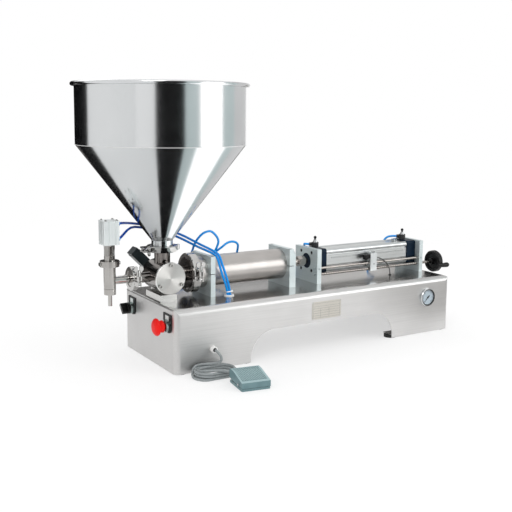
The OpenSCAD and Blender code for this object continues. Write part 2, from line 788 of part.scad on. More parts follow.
// Two solenoid valves under the base top, in the left leg
module solenoid_valves() {
    valve_size = [22, 62, 34];
    coil_size = [16, 26, 22];
    pitch = 32;
    for (k = [0, 1])
        color("#3a3d42") translate([bracket_x - valve_size[0] / 2 - k * pitch, -20, base_h - sheet_t])
            translate([0, 0, -valve_size[2]]) {
                cube(valve_size);
                translate([(valve_size[0] - coil_size[0]) / 2, valve_size[1], 6]) cube(coil_size);
                translate([valve_size[0] / 2, 0, valve_size[2] / 2]) rotate([90, 0, 0])
                    cylinder(r = 8, h = 6);
            }
}

// Split brackets that clamp the filling tube
bracket_xs = [bracket_x, bracket_b_x];
cap_screw_y = bracket_w / 2 - 5.5;
module tube_brackets() {
    for (x = bracket_xs)
        color("#c3c8ca") difference() {
            cross_plate(x, bracket_t, base_h, axis_z - split_gap / 2);
            rod_x(x - through, 0, axis_z, tube_r + seat_gap, bracket_t + 2 * through);
            for (s = [-1, 1])
                translate([x + bracket_t / 2, s * cap_screw_y, axis_z - 24])
                    cylinder(r = screw_r + seat_gap, h = 30);
        }
}

module bracket_caps() {
    for (x = bracket_xs)
        color("#c3c8ca") difference() {
            cross_plate(x, bracket_t, axis_z + split_gap / 2, axis_z + bracket_up);
            rod_x(x - through, 0, axis_z, tube_r + seat_gap, bracket_t + 2 * through);
            for (s = [-1, 1]) translate([x + bracket_t / 2, s * cap_screw_y, axis_z]) {
                translate([0, 0, -through]) cylinder(r = screw_r + seat_gap, h = bracket_up + 2);
                translate([0, 0, bracket_up - screw_recess])
                    cylinder(r = screw_head_r + seat_gap, h = screw_recess + through);
            }
        }
}

module tube_end_plate() {
    chamfer_w = end_plate_chamfer * sqrt(2);
    color("#c3c8ca") difference() {
        cross_plate(end_plate_x, end_plate_t, base_h, axis_z + end_plate_up);
        rod_x(end_plate_x - through, 0, axis_z, end_plate_hole_r, end_plate_t + 2 * through);
        for (s = [-1, 1])
            translate([end_plate_x - through, s * bracket_w / 2, axis_z + end_plate_up]) rotate([45, 0, 0])
                cube([2 * (end_plate_t + 2 * through), chamfer_w, chamfer_w], center = true);
    }
}

// Plates in front of and behind the air cylinder, with recessed screws
screw_recess = 5;
adjuster_zs = [axis_z - guide_drop, axis_z - screw_drop];
adjuster_bolt_r = 3;
module cylinder_screw_places() {
    for (sy = [-1, 1], sz = [-1, 1]) translate([0, sy * screw_pitch, axis_z + sz * screw_pitch]) children();
}

module front_plate() {
    color("#c3c8ca") difference() {
        cross_plate(front_plate_x, front_plate_t, base_h, axis_z + plate_up);
        rod_x(front_plate_x - through, 0, axis_z, nose_r + seat_gap, front_plate_t + 2 * through);
        cylinder_screw_places() {
            rod_x(front_plate_x - through, 0, 0, screw_r + seat_gap, front_plate_t + 2 * through);
            rod_x(front_plate_x - through, 0, 0, screw_head_r + seat_gap, screw_recess + through);
        }
        // Blind bearing of the lead screw, screw holes of both rods, grub screw in the edge
        rod_x(cylinder_x - 7, -adjust_y, axis_z - screw_drop, adjust_r + run_gap, 7 + through);
        for (z = adjuster_zs) rod_x(front_plate_x - through, -adjust_y, z, adjuster_bolt_r, 5 + through);
        edge_hole(front_plate_x + front_plate_t / 2);
    }
}

module edge_hole(x) { rod_y(x, -bracket_w / 2 - through, axis_z - guide_drop, 1.8, 5 + through); }

module rear_plate() {
    color("#c3c8ca") difference() {
        cross_plate(rear_plate_x, rear_plate_t, base_h, axis_z + plate_up - 2);
        cylinder_screw_places() {
            rod_x(rear_plate_x - through, 0, 0, screw_r + seat_gap, rear_plate_t + 2 * through);
            rod_x(rear_plate_x + rear_plate_t - screw_recess, 0, 0, screw_head_r + seat_gap,
                screw_recess + through);
        }
        rod_x(rear_plate_x - through, -adjust_y, axis_z - screw_drop, adjust_r + run_gap,
            rear_plate_t + 2 * through);
        edge_hole(rear_plate_x + rear_plate_t / 2);
    }
}

module cover_screw_places() {
    for (a = [90, 210, 330])
        translate([valve_x + 0.84 * cover_r * cos(a), 0, axis_z + 0.84 * cover_r * sin(a)]) children();
}

// Socket cap screw along +Z: head below z = 0, shank above it
module cap_screw(l) {
    head_h = screw_recess - 0.5;
    difference() {
        union() {
            translate([0, 0, -head_h]) cylinder(r = screw_head_r, h = head_h);
            cylinder(r = screw_r, h = l);
        }
        translate([0, 0, -head_h - through]) cylinder(r = 2.4, h = 2.5 + through, $fn = 6);
    }
}

cap_screw_l = 18;
module cap_screws() {
    color("#2a2b2e") {
        for (x = bracket_xs, s = [-1, 1])
            translate([x + bracket_t / 2, s * cap_screw_y, axis_z + bracket_up - screw_recess])
                rotate([180, 0, 0]) cap_screw(bracket_up - screw_recess + cap_screw_l);
        cylinder_screw_places() {
            translate([front_plate_x + screw_recess, 0, 0]) along_x() cap_screw(cap_screw_l);
            translate([rear_plate_x + rear_plate_t - screw_recess, 0, 0]) rotate([0, -90, 0])
                cap_screw(cap_screw_l);
        }
        // Screws of the valve cover
        cover_screw_places() translate([0, -cover_front - cover_t, 0]) along_y()
            cap_screw(cover_t + body_flange_t);
    }
}

// Half of a clamped pipe joint: the joint face is at z = 0, the pipe runs to +Z
module pipe_flange(flange_r, pipe_r, bore_r, l) {
    depth = min(flange_depth, flange_r - pipe_r);
    back = flange_t + depth * flange_slope;
    rotate_extrude() polygon([
        [bore_r, 0], [flange_r, 0], [flange_r, flange_t], [flange_r - depth, back],
        [pipe_r, back], [pipe_r, l], [bore_r, l]]);
}

// Hinged two-part clamp with its swing bolt. The axis is Z, the lugs are on +X and
// the bolt points to +Y
hinge_out = 4.5;
bolt_out = 9.5;
lug_z = 6;
module clamp_ring(flange_r, w) {
    out_r = flange_r + clamp_wall;
    in_r = flange_r - flange_depth + 0.5;
    groove_r = flange_r + free_gap;
    rim = gasket_t / 2 + flange_t + free_gap;
    lip = rim + (groove_r - in_r) * flange_slope;
    chamfer = 1.5;
    rotate_extrude() polygon([
        [in_r, w / 2], [out_r - chamfer, w / 2], [out_r, w / 2 - chamfer], [out_r, chamfer - w / 2],
        [out_r - chamfer, -w / 2], [in_r, -w / 2], [in_r, -lip], [groove_r, -rim], [groove_r, rim],
        [in_r, lip]]);
}

module clamp_lug(out_r, y_low, y_high) {
    difference() {
        translate([out_r - 2, y_low, -lug_z]) cube([bolt_out + 7, y_high - y_low, 2 * lug_z]);
        translate([out_r + bolt_out - 6.5, y_low - through, -swing_bolt_r - free_gap])
            cube([20, y_high - y_low + 2 * through, 2 * (swing_bolt_r + free_gap)]);
    }
}

module clamp_knuckle(out_r, side, z_low, z_high) {
    translate([-out_r - hinge_out, 0, z_low]) cylinder(r = 4, h = z_high - z_low);
    translate([-out_r - hinge_out, side > 0 ? 1.2 : -5, z_low]) cube([hinge_out + 2.5, 3.8, z_high - z_low]);
}

module clamp_half(flange_r, w, side) {
    out_r = flange_r + clamp_wall;
    difference() {
        union() {
            intersection() {
                clamp_ring(flange_r, w);
                translate([-2 * out_r, side > 0 ? 1 : -1 - 2 * out_r, -w])
                    cube([4 * out_r, 2 * out_r, 2 * w]);
            }
            if (side > 0) {
                clamp_lug(out_r, 1, lug_h);
                clamp_knuckle(out_r, side, -1.8, 1.8);
            } else {
                clamp_lug(out_r, -lug_h, -1);
                clamp_knuckle(out_r, side, -lug_z, -2.1);
                clamp_knuckle(out_r, side, 2.1, lug_z);
            }
        }
        translate([-out_r - hinge_out, 0, -w]) cylinder(r = 1.9, h = 2 * w);
        if (side < 0)
            translate([out_r + bolt_out, -7, -w]) cylinder(r = 2.1, h = 2 * w);
        translate([0, 0, -w]) cylinder(r = flange_r - flange_depth + 0.5, h = 2 * w);
    }
}

module clamp_set(flange_r, w) {
    out_r = flange_r + clamp_wall;
    color("#d3d5d7") clamp_half(flange_r, w, 1);
    color("#d3d5d7") clamp_half(flange_r, w, -1);
    color("#b4b7ba") translate([-out_r - hinge_out, 0, -lug_z - 0.6]) cylinder(r = 1.8, h = 2 * lug_z + 1.2);
    color("#b4b7ba") translate([out_r + bolt_out, -7, 0]) {
        translate([0, 0, -swing_bolt_r]) cylinder(r = 4.2, h = 2 * swing_bolt_r);
        translate([0, 0, -lug_z]) cylinder(r = 2, h = 2 * lug_z);
        along_y() cylinder(r = swing_bolt_r, h = lug_h + nut_hub_l + 8);
    }
}

module wing_nut(flange_r) {
    x = flange_r + clamp_wall + bolt_out;
    hub_y = lug_h + free_gap;
    wing_y = hub_y + nut_hub_l + wing_r - 3;
    color("#dfe1e2") translate([x, 0, 0]) difference() {
        union() {
            translate([0, hub_y, 0]) along_y() cylinder(r1 = 5.8, r2 = 4.8, h = nut_hub_l);
            for (s = [-1, 1])
                translate([-1.5, wing_y, s * (wing_r - 1)]) along_x() cylinder(r = wing_r, h = 3);
        }
        translate([0, hub_y - through, 0]) along_y()
            cylinder(r = swing_bolt_r + run_gap, h = nut_hub_l + 4 * wing_r);
    }
}

// Places of the three clamps
module hopper_joint() { translate([valve_x, 0, joint_z]) rotate(180) children(); }
module outlet_joint() { translate([outlet_x, 0, axis_z]) rotate([90, 0, -90]) children(); }
module head_joint() { translate([head_joint_x, 0, axis_z]) rotate([90, 0, -90]) children(); }

module hopper_clamp() { hopper_joint() clamp_set(hopper_flange_r, clamp_w); }
module hopper_wing_nut() { hopper_joint() wing_nut(hopper_flange_r); }
module outlet_clamp() { outlet_joint() clamp_set(outlet_flange_r, clamp_w); }
module outlet_wing_nut() { outlet_joint() wing_nut(outlet_flange_r); }
module head_clamp() { head_joint() clamp_set(head_flange_r, head_clamp_w); }
module head_wing_nut() { head_joint() wing_nut(head_flange_r); }

// Filling tube with the flange of its clamped joint
module filling_tube() {
    color("#a9abad") translate([tube_x, 0, axis_z]) along_x()
        pipe_flange(head_flange_r, tube_r, tube_bore_r, end_plate_x - tube_x);
}

// Cylinder head: polished plate with the passage from the valve
module cylinder_head() {
    boss_r = head_flange_r - flange_depth;
    back = flange_t + flange_depth * flange_slope;
    color("#6d6a67") translate([head_x + head_t, 0, axis_z]) rotate([0, -90, 0]) rotate_extrude() polygon([
        [port_r, 0], [head_flange_r, 0], [head_flange_r, flange_t], [boss_r, back],
        [boss_r, head_t - 2], [boss_r - 2, head_t], [port_r, head_t]]);
}

module filling_piston() {
    r = tube_bore_r - run_gap;
    color("#8d9093") translate([piston_x, 0, axis_z]) along_x() difference() {
        cylinder(r = r, h = piston_l);
        for (z = [6, piston_l - 6 - seal_w]) translate([0, 0, z]) difference() {
            cylinder(r = r + 1, h = seal_w);
            cylinder(r = r - seal_depth, h = seal_w);
        }
        translate([0, 0, piston_l - rod_socket]) cylinder(r = rod_r + run_gap, h = rod_socket + 1);
    }
}

module piston_seals() {
    groove_r = tube_bore_r - run_gap - seal_depth;
    for (x = [6, piston_l - 6 - seal_w])
        color("#f1efe6") translate([piston_x + x + 0.2, 0, axis_z]) along_x() difference() {
            cylinder(r = tube_bore_r - 0.04, h = seal_w - 0.4);
            translate([0, 0, -1]) cylinder(r = groove_r + 0.2, h = seal_w + 2);
        }
}

// Piston rod and the hexagon coupling that takes the air cylinder's rod
coupling_r = coupling_flats / 2 / cos(30);
module piston_rod() {
    start = piston_x + piston_l - rod_socket;
    color("#c7c9cb") {
        rod_x(start, 0, axis_z, rod_r, coupling_x - start);
        translate([coupling_x, 0, axis_z]) along_x() cylinder(r = coupling_r, h = coupling_l, $fn = 6);
    }
}

module air_piston() {
    start = coupling_x + coupling_l;
    color("#c7c9cb") rod_x(start, 0, axis_z, rod_r, air_piston_x - start);
    color("#c7c9cb") rod_x(air_piston_x, 0, axis_z, air_bore_r - run_gap, air_piston_l);
}

module cylinder_cap(x, l) {
    translate([x, 0, axis_z]) along_x() linear_extrude(l) round_rect(cap_w, cap_w, cap_corner_r);
}

// Both caps, with the round nose of the front one in the front plate
module air_caps() {
    nose_l = front_plate_t - 1;
    color("#1c2e48") difference() {
        union() {
            cylinder_cap(cylinder_x, cap_front_l);
            rod_x(cylinder_x - nose_l, 0, axis_z, nose_r, nose_l + 1);
        }
        rod_x(cylinder_x - nose_l - through, 0, axis_z, rod_r + run_gap, nose_l + cap_front_l + 2);
        cylinder_screw_places() rod_x(cylinder_x - through, 0, 0, screw_r + seat_gap, 24);
    }
    color("#1c2e48") difference() {
        cylinder_cap(cap_rear_x, cap_rear_l);
        cylinder_screw_places() rod_x(cap_rear_x + cap_rear_l - 14, 0, 0, screw_r + seat_gap, 16);
    }
}

// Extruded tube: a round barrel between four corner lobes, with sensor slots
module air_tube_profile() {
    h = air_tube_w / 2;
    difference() {
        union() {
            circle(h - 1.5);
            for (sy = [-1, 1], sz = [-1, 1])
                translate([sy * (h - lobe_r), sz * (h - lobe_r)]) circle(lobe_r);
            for (a = [0, 90]) rotate(a) square([2 * h - 3, 2 * (h - lobe_r)], center = true);
        }
        circle(air_bore_r);
        for (a = [0, 90, 180, 270], s = [-1, 1])
            rotate(a) translate([h - 2.2, s * (h - 2 * lobe_r + 1)]) circle(1.7);
    }
}

module air_tube() {
    color("#dcdfe1") translate([air_tube_x, 0, axis_z]) along_x()
        linear_extrude(air_tube_l) air_tube_profile();
}

// Speed control valves, screwed into the caps, with their needle stems
speed_xs = [air_tube_x - speed_inset, cap_rear_x + speed_inset / 2];
speed_z = axis_z + cap_w / 2;
speed_arm_l = 15;
speed_arm_r = 5;
knob_foot = 2.5;
speed_arm_z = speed_z + knob_foot + speed_h / 2;
stem_cone_h = 7;
module speed_valves() {
    for (x = speed_xs)
        color("#202226") translate([x, 0, speed_z]) difference() {
            union() {
                cylinder(r = speed_r - 2, h = knob_foot, $fn = 6);
                translate([0, 0, knob_foot]) cylinder(r = speed_r, h = speed_h);
                rotate([0, 0, -speed_turn]) rotate([0, -90, 0]) translate([knob_foot + speed_h / 2, 0, 0])
                    cylinder(r = speed_arm_r, h = speed_arm_l);
                translate([0, 0, knob_foot + speed_h]) cylinder(r1 = 6, r2 = 4, h = stem_cone_h);
            }
            translate([0, 0, knob_foot + 5]) cylinder(r = 2.5 + run_gap, h = speed_h + stem_cone_h);
        }
}

module speed_knob(x) {
    stem_z = speed_z + knob_foot + 6;
    stem_l = speed_h + stem_cone_h - 3;
    color("#1a1a1c") translate([x, 0, stem_z]) {
        cylinder(r = 2.5, h = stem_l);
        translate([0, 0, stem_l + ball_r - 1]) sphere(ball_r);
    }
}
module speed_knob_front() { speed_knob(speed_xs[0]); }
module speed_knob_rear() { speed_knob(speed_xs[1]); }

// Stroke adjuster: guide rod, lead screw with handwheel, carriage with the sensor
adjuster_l = rear_plate_x - cylinder_x;
guide_z = axis_z - guide_drop;
screw_z = axis_z - screw_drop;
module guide_rod() { color("#d0d2d4") rod_x(cylinder_x, -adjust_y, guide_z, adjust_r, adjuster_l); }

module lead_screw() {
    bearing = 6.5;
    color("#c2c4c6") rod_x(cylinder_x - bearing, -adjust_y, screw_z, adjust_r,
        bearing + wheel_x + wheel_w - 4 - cylinder_x);
}

module handwheel() {
    hub_r = 9;
    rim_in = wheel_r - 8;
    color("#18181a") difference() {
        union() {
            translate([wheel_x, -adjust_y, screw_z]) along_x() rotate_extrude() polygon([
                [0, -6], [hub_r - 1, -6], [hub_r, -5], [hub_r + 1, 4], [rim_in, 5],
                [rim_in + 2, 1], [wheel_r - 2, 0], [wheel_r, 3], [wheel_r, wheel_w - 4],
                [wheel_r - 2, wheel_w - 1], [rim_in + 2, wheel_w - 1], [rim_in, wheel_w - 4],
                [hub_r + 1, wheel_w - 4], [hub_r, wheel_w], [0, wheel_w]]);
            // Boss of the revolving grip
            rod_x(wheel_x + 6, grip_y, grip_z, 6, wheel_w - 6);
        }
        rod_x(wheel_x - 7, -adjust_y, screw_z, adjust_r + seat_gap, wheel_w + 8);
        // Finger hollows around the rim
        for (a = [15 : 30 : 345])
            translate([wheel_x - 1, -adjust_y, screw_z]) rotate([a, 0, 0]) translate([0, 0, wheel_r + 7])
                along_x() cylinder(r = 8, h = wheel_w + 2);
    }
}

grip_y = -adjust_y - grip_at * 0.88;
grip_z = screw_z - grip_at * 0.47;
module wheel_grip() {
    color("#18181a") translate([wheel_x + wheel_w + grip_gap, grip_y, grip_z]) along_x() {
        rotate_extrude() polygon([
            [0, 0], [grip_r - 1.5, 0], [grip_r - 1, 4], [grip_r, grip_l * 0.6],
            [grip_r, grip_l - 5], [grip_r - 2, grip_l - 1], [grip_r - 4, grip_l], [0, grip_l]]);
        translate([0, 0, seat_gap - grip_gap]) cylinder(r = 3, h = grip_gap + 1);
    }
}

carriage_x = cylinder_x + carriage_at;
carriage_y = -adjust_y - carriage_d / 2 - 1;
carriage_top = axis_z + 11;
module carriage() {
    color("#e2e5e6") difference() {
        union() {
            translate([carriage_x, carriage_y, carriage_top - carriage_h])
                cube([carriage_w, carriage_d, carriage_h]);
            for (x = [5, carriage_w - 5])
                translate([carriage_x + x, carriage_y + carriage_d / 2, carriage_top])
                    cylinder(r = 2.8, h = 3);
        }
        rod_x(carriage_x - through, -adjust_y, guide_z, adjust_r + run_gap, carriage_w + 2 * through);
        rod_x(carriage_x - through, -adjust_y, screw_z, adjust_r + free_gap, carriage_w + 2 * through);
    }
}

module position_sensor() {
    arm_l = 19;
    z = carriage_top - 9;
    color("#1b1c1e") {
        translate([carriage_x - arm_l, carriage_y + 4, z - 6]) cube([arm_l, carriage_d - 8, 12]);
        rod_y(carriage_x - arm_l + 6, carriage_y - 2, z, 6.5, 7);
    }
}

// Three-way valve: body with its three branches, cover, rotor
module valve_branch(r, l) { cylinder(r = r, h = l); }
module valve_body() {
    neck_l = hopper_joint_h - gasket_t / 2;
    stub_l = outlet_reach - gasket_t / 2;
    color("#9b9c9d") translate([valve_x, 0, axis_z]) difference() {
        union() {
            rod_y(0, -cover_front, 0, cover_r, body_flange_t);
            rod_y(0, -cover_front, 0, valve_r, cover_front + valve_back);
            valve_branch(neck_r, neck_l - 1);
            translate([0, 0, neck_l]) rotate([180, 0, 0])
                pipe_flange(hopper_flange_r, neck_r, port_r - 1, neck_l - valve_r + 4);
            rotate([0, -90, 0]) valve_branch(outlet_r, stub_l - 1);
            rotate([0, -90, 0]) translate([0, 0, stub_l]) rotate([180, 0, 0])
                pipe_flange(outlet_flange_r, outlet_r, outlet_bore_r - 1, 12);
            along_x() valve_branch(neck_r, head_x - valve_x);
        }
        rod_y(0, -cover_front - through, 0, rotor_r + run_gap,
            cover_front + through + valve_back - valve_wall);
        rod_y(0, 0, 0, stem_r + run_gap, valve_back + through);
        cylinder(r = port_r, h = neck_l + through);
        rotate([0, -90, 0]) cylinder(r = outlet_bore_r, h = stub_l + through);
        along_x() cylinder(r = port_r, h = head_x - valve_x + through);
        // Threaded holes of the cover screws
        translate([-valve_x, 0, -axis_z]) cover_screw_places()
            rod_y(0, -cover_front - through, 0, screw_r + seat_gap, body_flange_t + 2);
    }
}

module valve_cover() {
    color("#d8d9da") difference() {
        translate([valve_x, -cover_front - cover_t, axis_z]) along_y() rotate_extrude() polygon([
            [0, 0], [cover_r - 1, 0], [cover_r, 1], [cover_r, cover_t], [0, cover_t]]);
        cover_screw_places()
            rod_y(0, -cover_front - cover_t - through, 0, screw_r + seat_gap, cover_t + 2 * through);
    }
}

// Rotor with a T of passages: up, right and down while the piston draws
module valve_rotor() {
    front = cover_front - free_gap;
    back = valve_back - valve_wall - free_gap;
    stem_l = valve_wall + adapter_l + 20;
    color("#b3b5b7") translate([valve_x, 0, axis_z]) difference() {
        union() {
            rod_y(0, -front, 0, rotor_r, front + back);
            rod_y(0, back - 1, 0, stem_r, stem_l + 1);
        }
        translate([0, 0, -rotor_r - 1]) cylinder(r = port_r, h = 2 * rotor_r + 2);
        along_x() cylinder(r = port_r, h = rotor_r + 1);
    }
}

// Block under the valve, with a narrow saddle that takes the body
module valve_block() {
    front = cover_front + 3;
    saddle_w = 26;
    saddle_front = cover_front - body_flange_t - 3;
    color("#c9cbcc") difference() {
        union() {
            translate([valve_x - block_shift - block_w / 2, -front, base_h])
                cube([block_w, front + valve_back - 2, block_h]);
            translate([valve_x - saddle_w / 2, -saddle_front, base_h])
                cube([saddle_w, saddle_front + valve_back - 2, axis_h - valve_r + 5]);
        }
        rod_y(valve_x, -front - through, axis_z, valve_r + seat_gap, front + valve_back + 2);
    }
}

// Adapter and rotary air actuator behind the valve
actuator_back = valve_back + adapter_l + actuator_d;
module actuator_adapter() {
    color("#6a625c") translate([valve_x, valve_back, axis_z]) difference() {
        along_y() cylinder(r = adapter_r, h = adapter_l);
        translate([0, -through, 0]) along_y() cylinder(r = stem_r + 3, h = adapter_l + 2 * through);
    }
}

module valve_actuator() {
    cap_l = 7;
    body_l = actuator_l - 2 * cap_l;
    color("#202428") translate([valve_x, valve_back + adapter_l, axis_z]) rotate([0, actuator_tilt, 0])
        difference() {
            translate([-actuator_shift, 0, actuator_offset]) union() {
                translate([-body_l / 2, 0, -actuator_w / 2]) cube([body_l, actuator_d, actuator_w]);
                for (s = [-1, 1])
                    translate([s * (body_l + cap_l) / 2, actuator_d / 2, 0])
                        cube([cap_l, actuator_d - 2, actuator_w - 2], center = true);
            }
            translate([0, -through, 0]) along_y() cylinder(r = stem_r + run_gap, h = 21);
        }
}

// Hopper: cone with its outlet tube and flange, and the straight wall welded to it
hopper_foot = joint_z + gasket_t / 2;
cone_z = hopper_foot + hopper_neck_h;
wall_z = cone_z + cone_h;
rim_z = wall_z + hopper_wall_h + rim_r;
module hopper_cone() {
    back = flange_t + flange_depth * flange_slope;
    tube_in = hopper_tube_r - hopper_t;
    color("#bfc1c2") translate([valve_x, 0, 0]) rotate_extrude() polygon([
        [tube_in, hopper_foot], [hopper_flange_r, hopper_foot], [hopper_flange_r, hopper_foot + flange_t],
        [hopper_flange_r - flange_depth, hopper_foot + back], [hopper_tube_r, hopper_foot + back],
        [hopper_tube_r, cone_z], [hopper_r, wall_z], [hopper_r - hopper_t, wall_z], [tube_in, cone_z + 1]]);
}

// The rim is rolled outwards over a wire
module hopper_wall() {
    color("#bfc1c2") translate([valve_x, 0, 0]) rotate_extrude() {
        translate([hopper_r - hopper_t, wall_z]) square([hopper_t, hopper_wall_h + rim_r]);
        translate([hopper_r + rim_r - rim_lap, rim_z]) circle(rim_r, $fn = 24);
    }
}

// Nozzle: body with the outlet tip and the branch to the outlet joint
module nozzle_body() {
    branch_l = nozzle_reach - outlet_reach - gasket_t / 2;
    color("#c4c6c8") translate([nozzle_x, 0, 0]) difference() {
        union() {
            translate([0, 0, nozzle_foot]) cylinder(r = nozzle_r, h = nozzle_top - nozzle_foot);
            translate([0, 0, nozzle_foot - tip_l]) cylinder(r = tip_r, h = tip_l + 1);
            translate([0, 0, axis_z]) along_x() cylinder(r = spout_r, h = branch_l - 1);
            translate([branch_l, 0, axis_z]) rotate([0, -90, 0])
                pipe_flange(outlet_flange_r, spout_r, outlet_bore_r - 1, branch_l - nozzle_r + 2);
        }
        translate([0, 0, nozzle_floor + seat_h]) cylinder(r = nozzle_cavity_r, h = nozzle_top);
        translate([0, 0, nozzle_floor]) cylinder(r1 = tip_bore_r, r2 = nozzle_cavity_r, h = seat_h + 0.01);
        translate([0, 0, nozzle_foot - tip_l - through]) cylinder(r = tip_bore_r, h = tip_l + 20);
        translate([0, 0, axis_z]) along_x() cylinder(r = outlet_bore_r, h = branch_l + through);
    }
}

module nozzle_yoke() {
    slot_foot = nozzle_top + yoke_flange_t + 2;
    color("#c4c6c8") translate([nozzle_x, 0, 0]) difference() {
        union() {
            translate([0, 0, nozzle_top]) cylinder(r = yoke_flange_r, h = yoke_flange_t);
            translate([0, 0, nozzle_top]) cylinder(r = yoke_r, h = yoke_flange_t + yoke_h);
            for (s = [-1, 1])
                translate([s * yoke_flange_r - 3, 0, nozzle_top + yoke_flange_t / 2]) along_x()
                    cylinder(r = 4.5, h = 6);
        }
        translate([0, 0, nozzle_top - through])
            cylinder(r = plunger_r + run_gap, h = yoke_flange_t + yoke_h + 2);
        translate([0, 0, slot_foot]) cylinder(r = yoke_r - 3, h = yoke_h - 6);
        translate([-yoke_slot_w / 2, -yoke_r - 1, slot_foot])
            cube([yoke_slot_w, 2 * yoke_r + 2, yoke_h - 6]);
    }
}

nozzle_bore_r = nozzle_cyl_w / 2 - 6.5;
nozzle_bore_z = yoke_top + 8;
module nozzle_cylinder() {
    half = nozzle_cyl_w / 2;
    color("#d9dcde") translate([nozzle_x, 0, yoke_top]) difference() {
        linear_extrude(nozzle_cyl_h) difference() {
            round_rect(nozzle_cyl_w, nozzle_cyl_w, 3);
            for (a = [0 : 90 : 270], s = [-1, 1]) rotate(a) translate([half, s * 8]) circle(1.6);
        }
        translate([0, 0, 8]) cylinder(r = nozzle_bore_r, h = nozzle_cyl_h - 16);
        translate([0, 0, -through]) cylinder(r = plunger_r + run_gap, h = 12);
        // Air ports on the side that faces the hopper
        for (z = [10, nozzle_cyl_h - 10])
            translate([half - 6, 4, z]) along_x() cylinder(r = 3.2, h = 7);
    }
}

// Shut-off plunger: seat cone, rod, and its air piston
module nozzle_plunger() {
    head_z = nozzle_floor + 0.4;
    head_r = tip_bore_r + (nozzle_cavity_r - tip_bore_r) * 4 / seat_h;
    piston_t = 24;
    color("#d5d7d8") translate([nozzle_x, 0, 0]) {
        translate([0, 0, head_z]) cylinder(r1 = tip_bore_r, r2 = head_r, h = 4);
        translate([0, 0, head_z + 4]) cylinder(r = head_r, h = 4);
        translate([0, 0, head_z + 7]) cylinder(r = plunger_r, h = nozzle_bore_z + piston_t - head_z - 7);
        translate([0, 0, nozzle_bore_z + 1]) cylinder(r = nozzle_bore_r - run_gap, h = piston_t);
    }
}

// Blue air hoses, held at both ends. Two run side by side from the nozzle's cylinder
// over the first bracket to the front bush, two loop from the rear bush to the
// actuator, and one comes from each speed control valve
hose_r = 3;
hose_foot = base_h - 4.5;
port_x = nozzle_x + nozzle_cyl_w / 2;
port_y = 4;
pair_routes = [
    [[port_x, port_y, yoke_top + 46], [port_x + 15, 12, yoke_top + 46], [end_x - 27, 50, 333],
        [end_x + 20, 72, 323], [end_x + 70, 62, 311], [end_x + 106, 44, 296], [end_x + 128, 32, 283.5],
        [end_x + 143, 10, 273], [end_x + 151.5, -20, 266], [end_x + 162, -45, 255.5],
        [end_x + 168, -53, 233], [end_x + 175, -56.5, 210], [end_x + 182, -57, 188],
        [end_x + 187.5, -56, 168], [grommet_x + 3.1, grommet_y, hose_foot]],
    [[port_x, port_y, yoke_top + 10], [port_x + 14, 12, yoke_top + 12], [end_x - 26, 50, 322],
        [end_x + 20, 72, 315.5], [end_x + 68, 62, 303.5], [end_x + 101, 45, 289], [end_x + 123, 32, 276.5],
        [end_x + 137, 8, 267], [end_x + 145.5, -20, 261.5], [end_x + 155.2, -46, 252.5],
        [end_x + 160, -55.5, 230], [end_x + 166, -58.5, 206], [end_x + 173.8, -59, 186],
        [end_x + 180.3, -57, 166], [grommet_x - 3.1, grommet_y, hose_foot]]
];
loop_routes = [
    [[grommet_x - 3.1, back_hose_y, hose_foot], [grommet_x - 2.6, 62.5, 170], [grommet_x - 1, 58, 205],
        [end_x + 196, 42, 240], [end_x + 205, 34, 268], [end_x + 203, 34, 282.5], [end_x + 191.5, 34, 296],
        [end_x + 179.5, 34, 301.5], [end_x + 161.5, 34, 297], [end_x + 148, 38, 283],
        [end_x + 143, 46, 268], [end_x + 142, 56, 250], [end_x + 138, 66, 232], [end_x + 128, 82, 217],
        [end_x + 110, 100, 207], [end_x + 88, 113, 201], [end_x + 64, 112, 198],
        [end_x + 52.5, 103, 198], [end_x + 51.3, actuator_back + seat_gap, 198]],
    [[grommet_x + 3.2, back_hose_y, hose_foot], [grommet_x + 4.4, 63.5, 172], [grommet_x + 6, 60, 210],
        [end_x + 202, 46, 242], [end_x + 216, 34, 258], [end_x + 230, 34, 267], [end_x + 245, 34, 270],
        [end_x + 259, 35, 266], [end_x + 268, 42, 254.5], [end_x + 271, 60, 226], [end_x + 256, 78, 192],
        [end_x + 222, 88, 172], [end_x + 180, 98, 164], [end_x + 135, 110, 166], [end_x + 100, 119, 175],
        [end_x + 80, 116, 181], [end_x + 69, 105, 182], [end_x + 67.6, actuator_back + seat_gap, 182]]
];
// The hoses of the speed controls turn down behind the cylinder
function speed_out(x, l) = [x - l * cos(speed_turn), l * sin(speed_turn), speed_arm_z];
cylinder_runs = [
    [[-13.7, 16.4, -0.1], [-15.3, 21.5, -0.2], [-14.5, 27.8, -0.8], [-11.4, 33.6, -2.9],
        [-8.6, 38.8, -8.5], [-7, 43.5, -19.5], [-7, 49.5, -36], [-12, 57.5, -51], [-26, 63, -62]],
    [[-15.4, 17.2, -0.1], [-20.8, 23.6, -0.8], [-26.8, 31, -3.6], [-31.8, 37, -10.3],
        [-35.8, 41, -21.3], [-40.6, 45.5, -37.3], [-47, 52.5, -53], [-56, 60.5, -66]]
];
cylinder_routes = [for (k = [0, 1]) let (foot = rear_grommets[k + 1]) concat(
    [speed_out(speed_xs[k], speed_arm_l + seat_gap)],
    [for (p = cylinder_runs[k]) [speed_xs[k] + p[0], p[1], speed_arm_z + p[2]]],
    [[foot[0], rear_hose_y, speed_arm_z - 80], [foot[0], rear_hose_y, hose_foot]])];
module air_hoses() {
    for (route = concat(pair_routes, loop_routes, cylinder_routes))
        color("#1168c8") sweep(spline(route, 3), hose_r, 8);
}

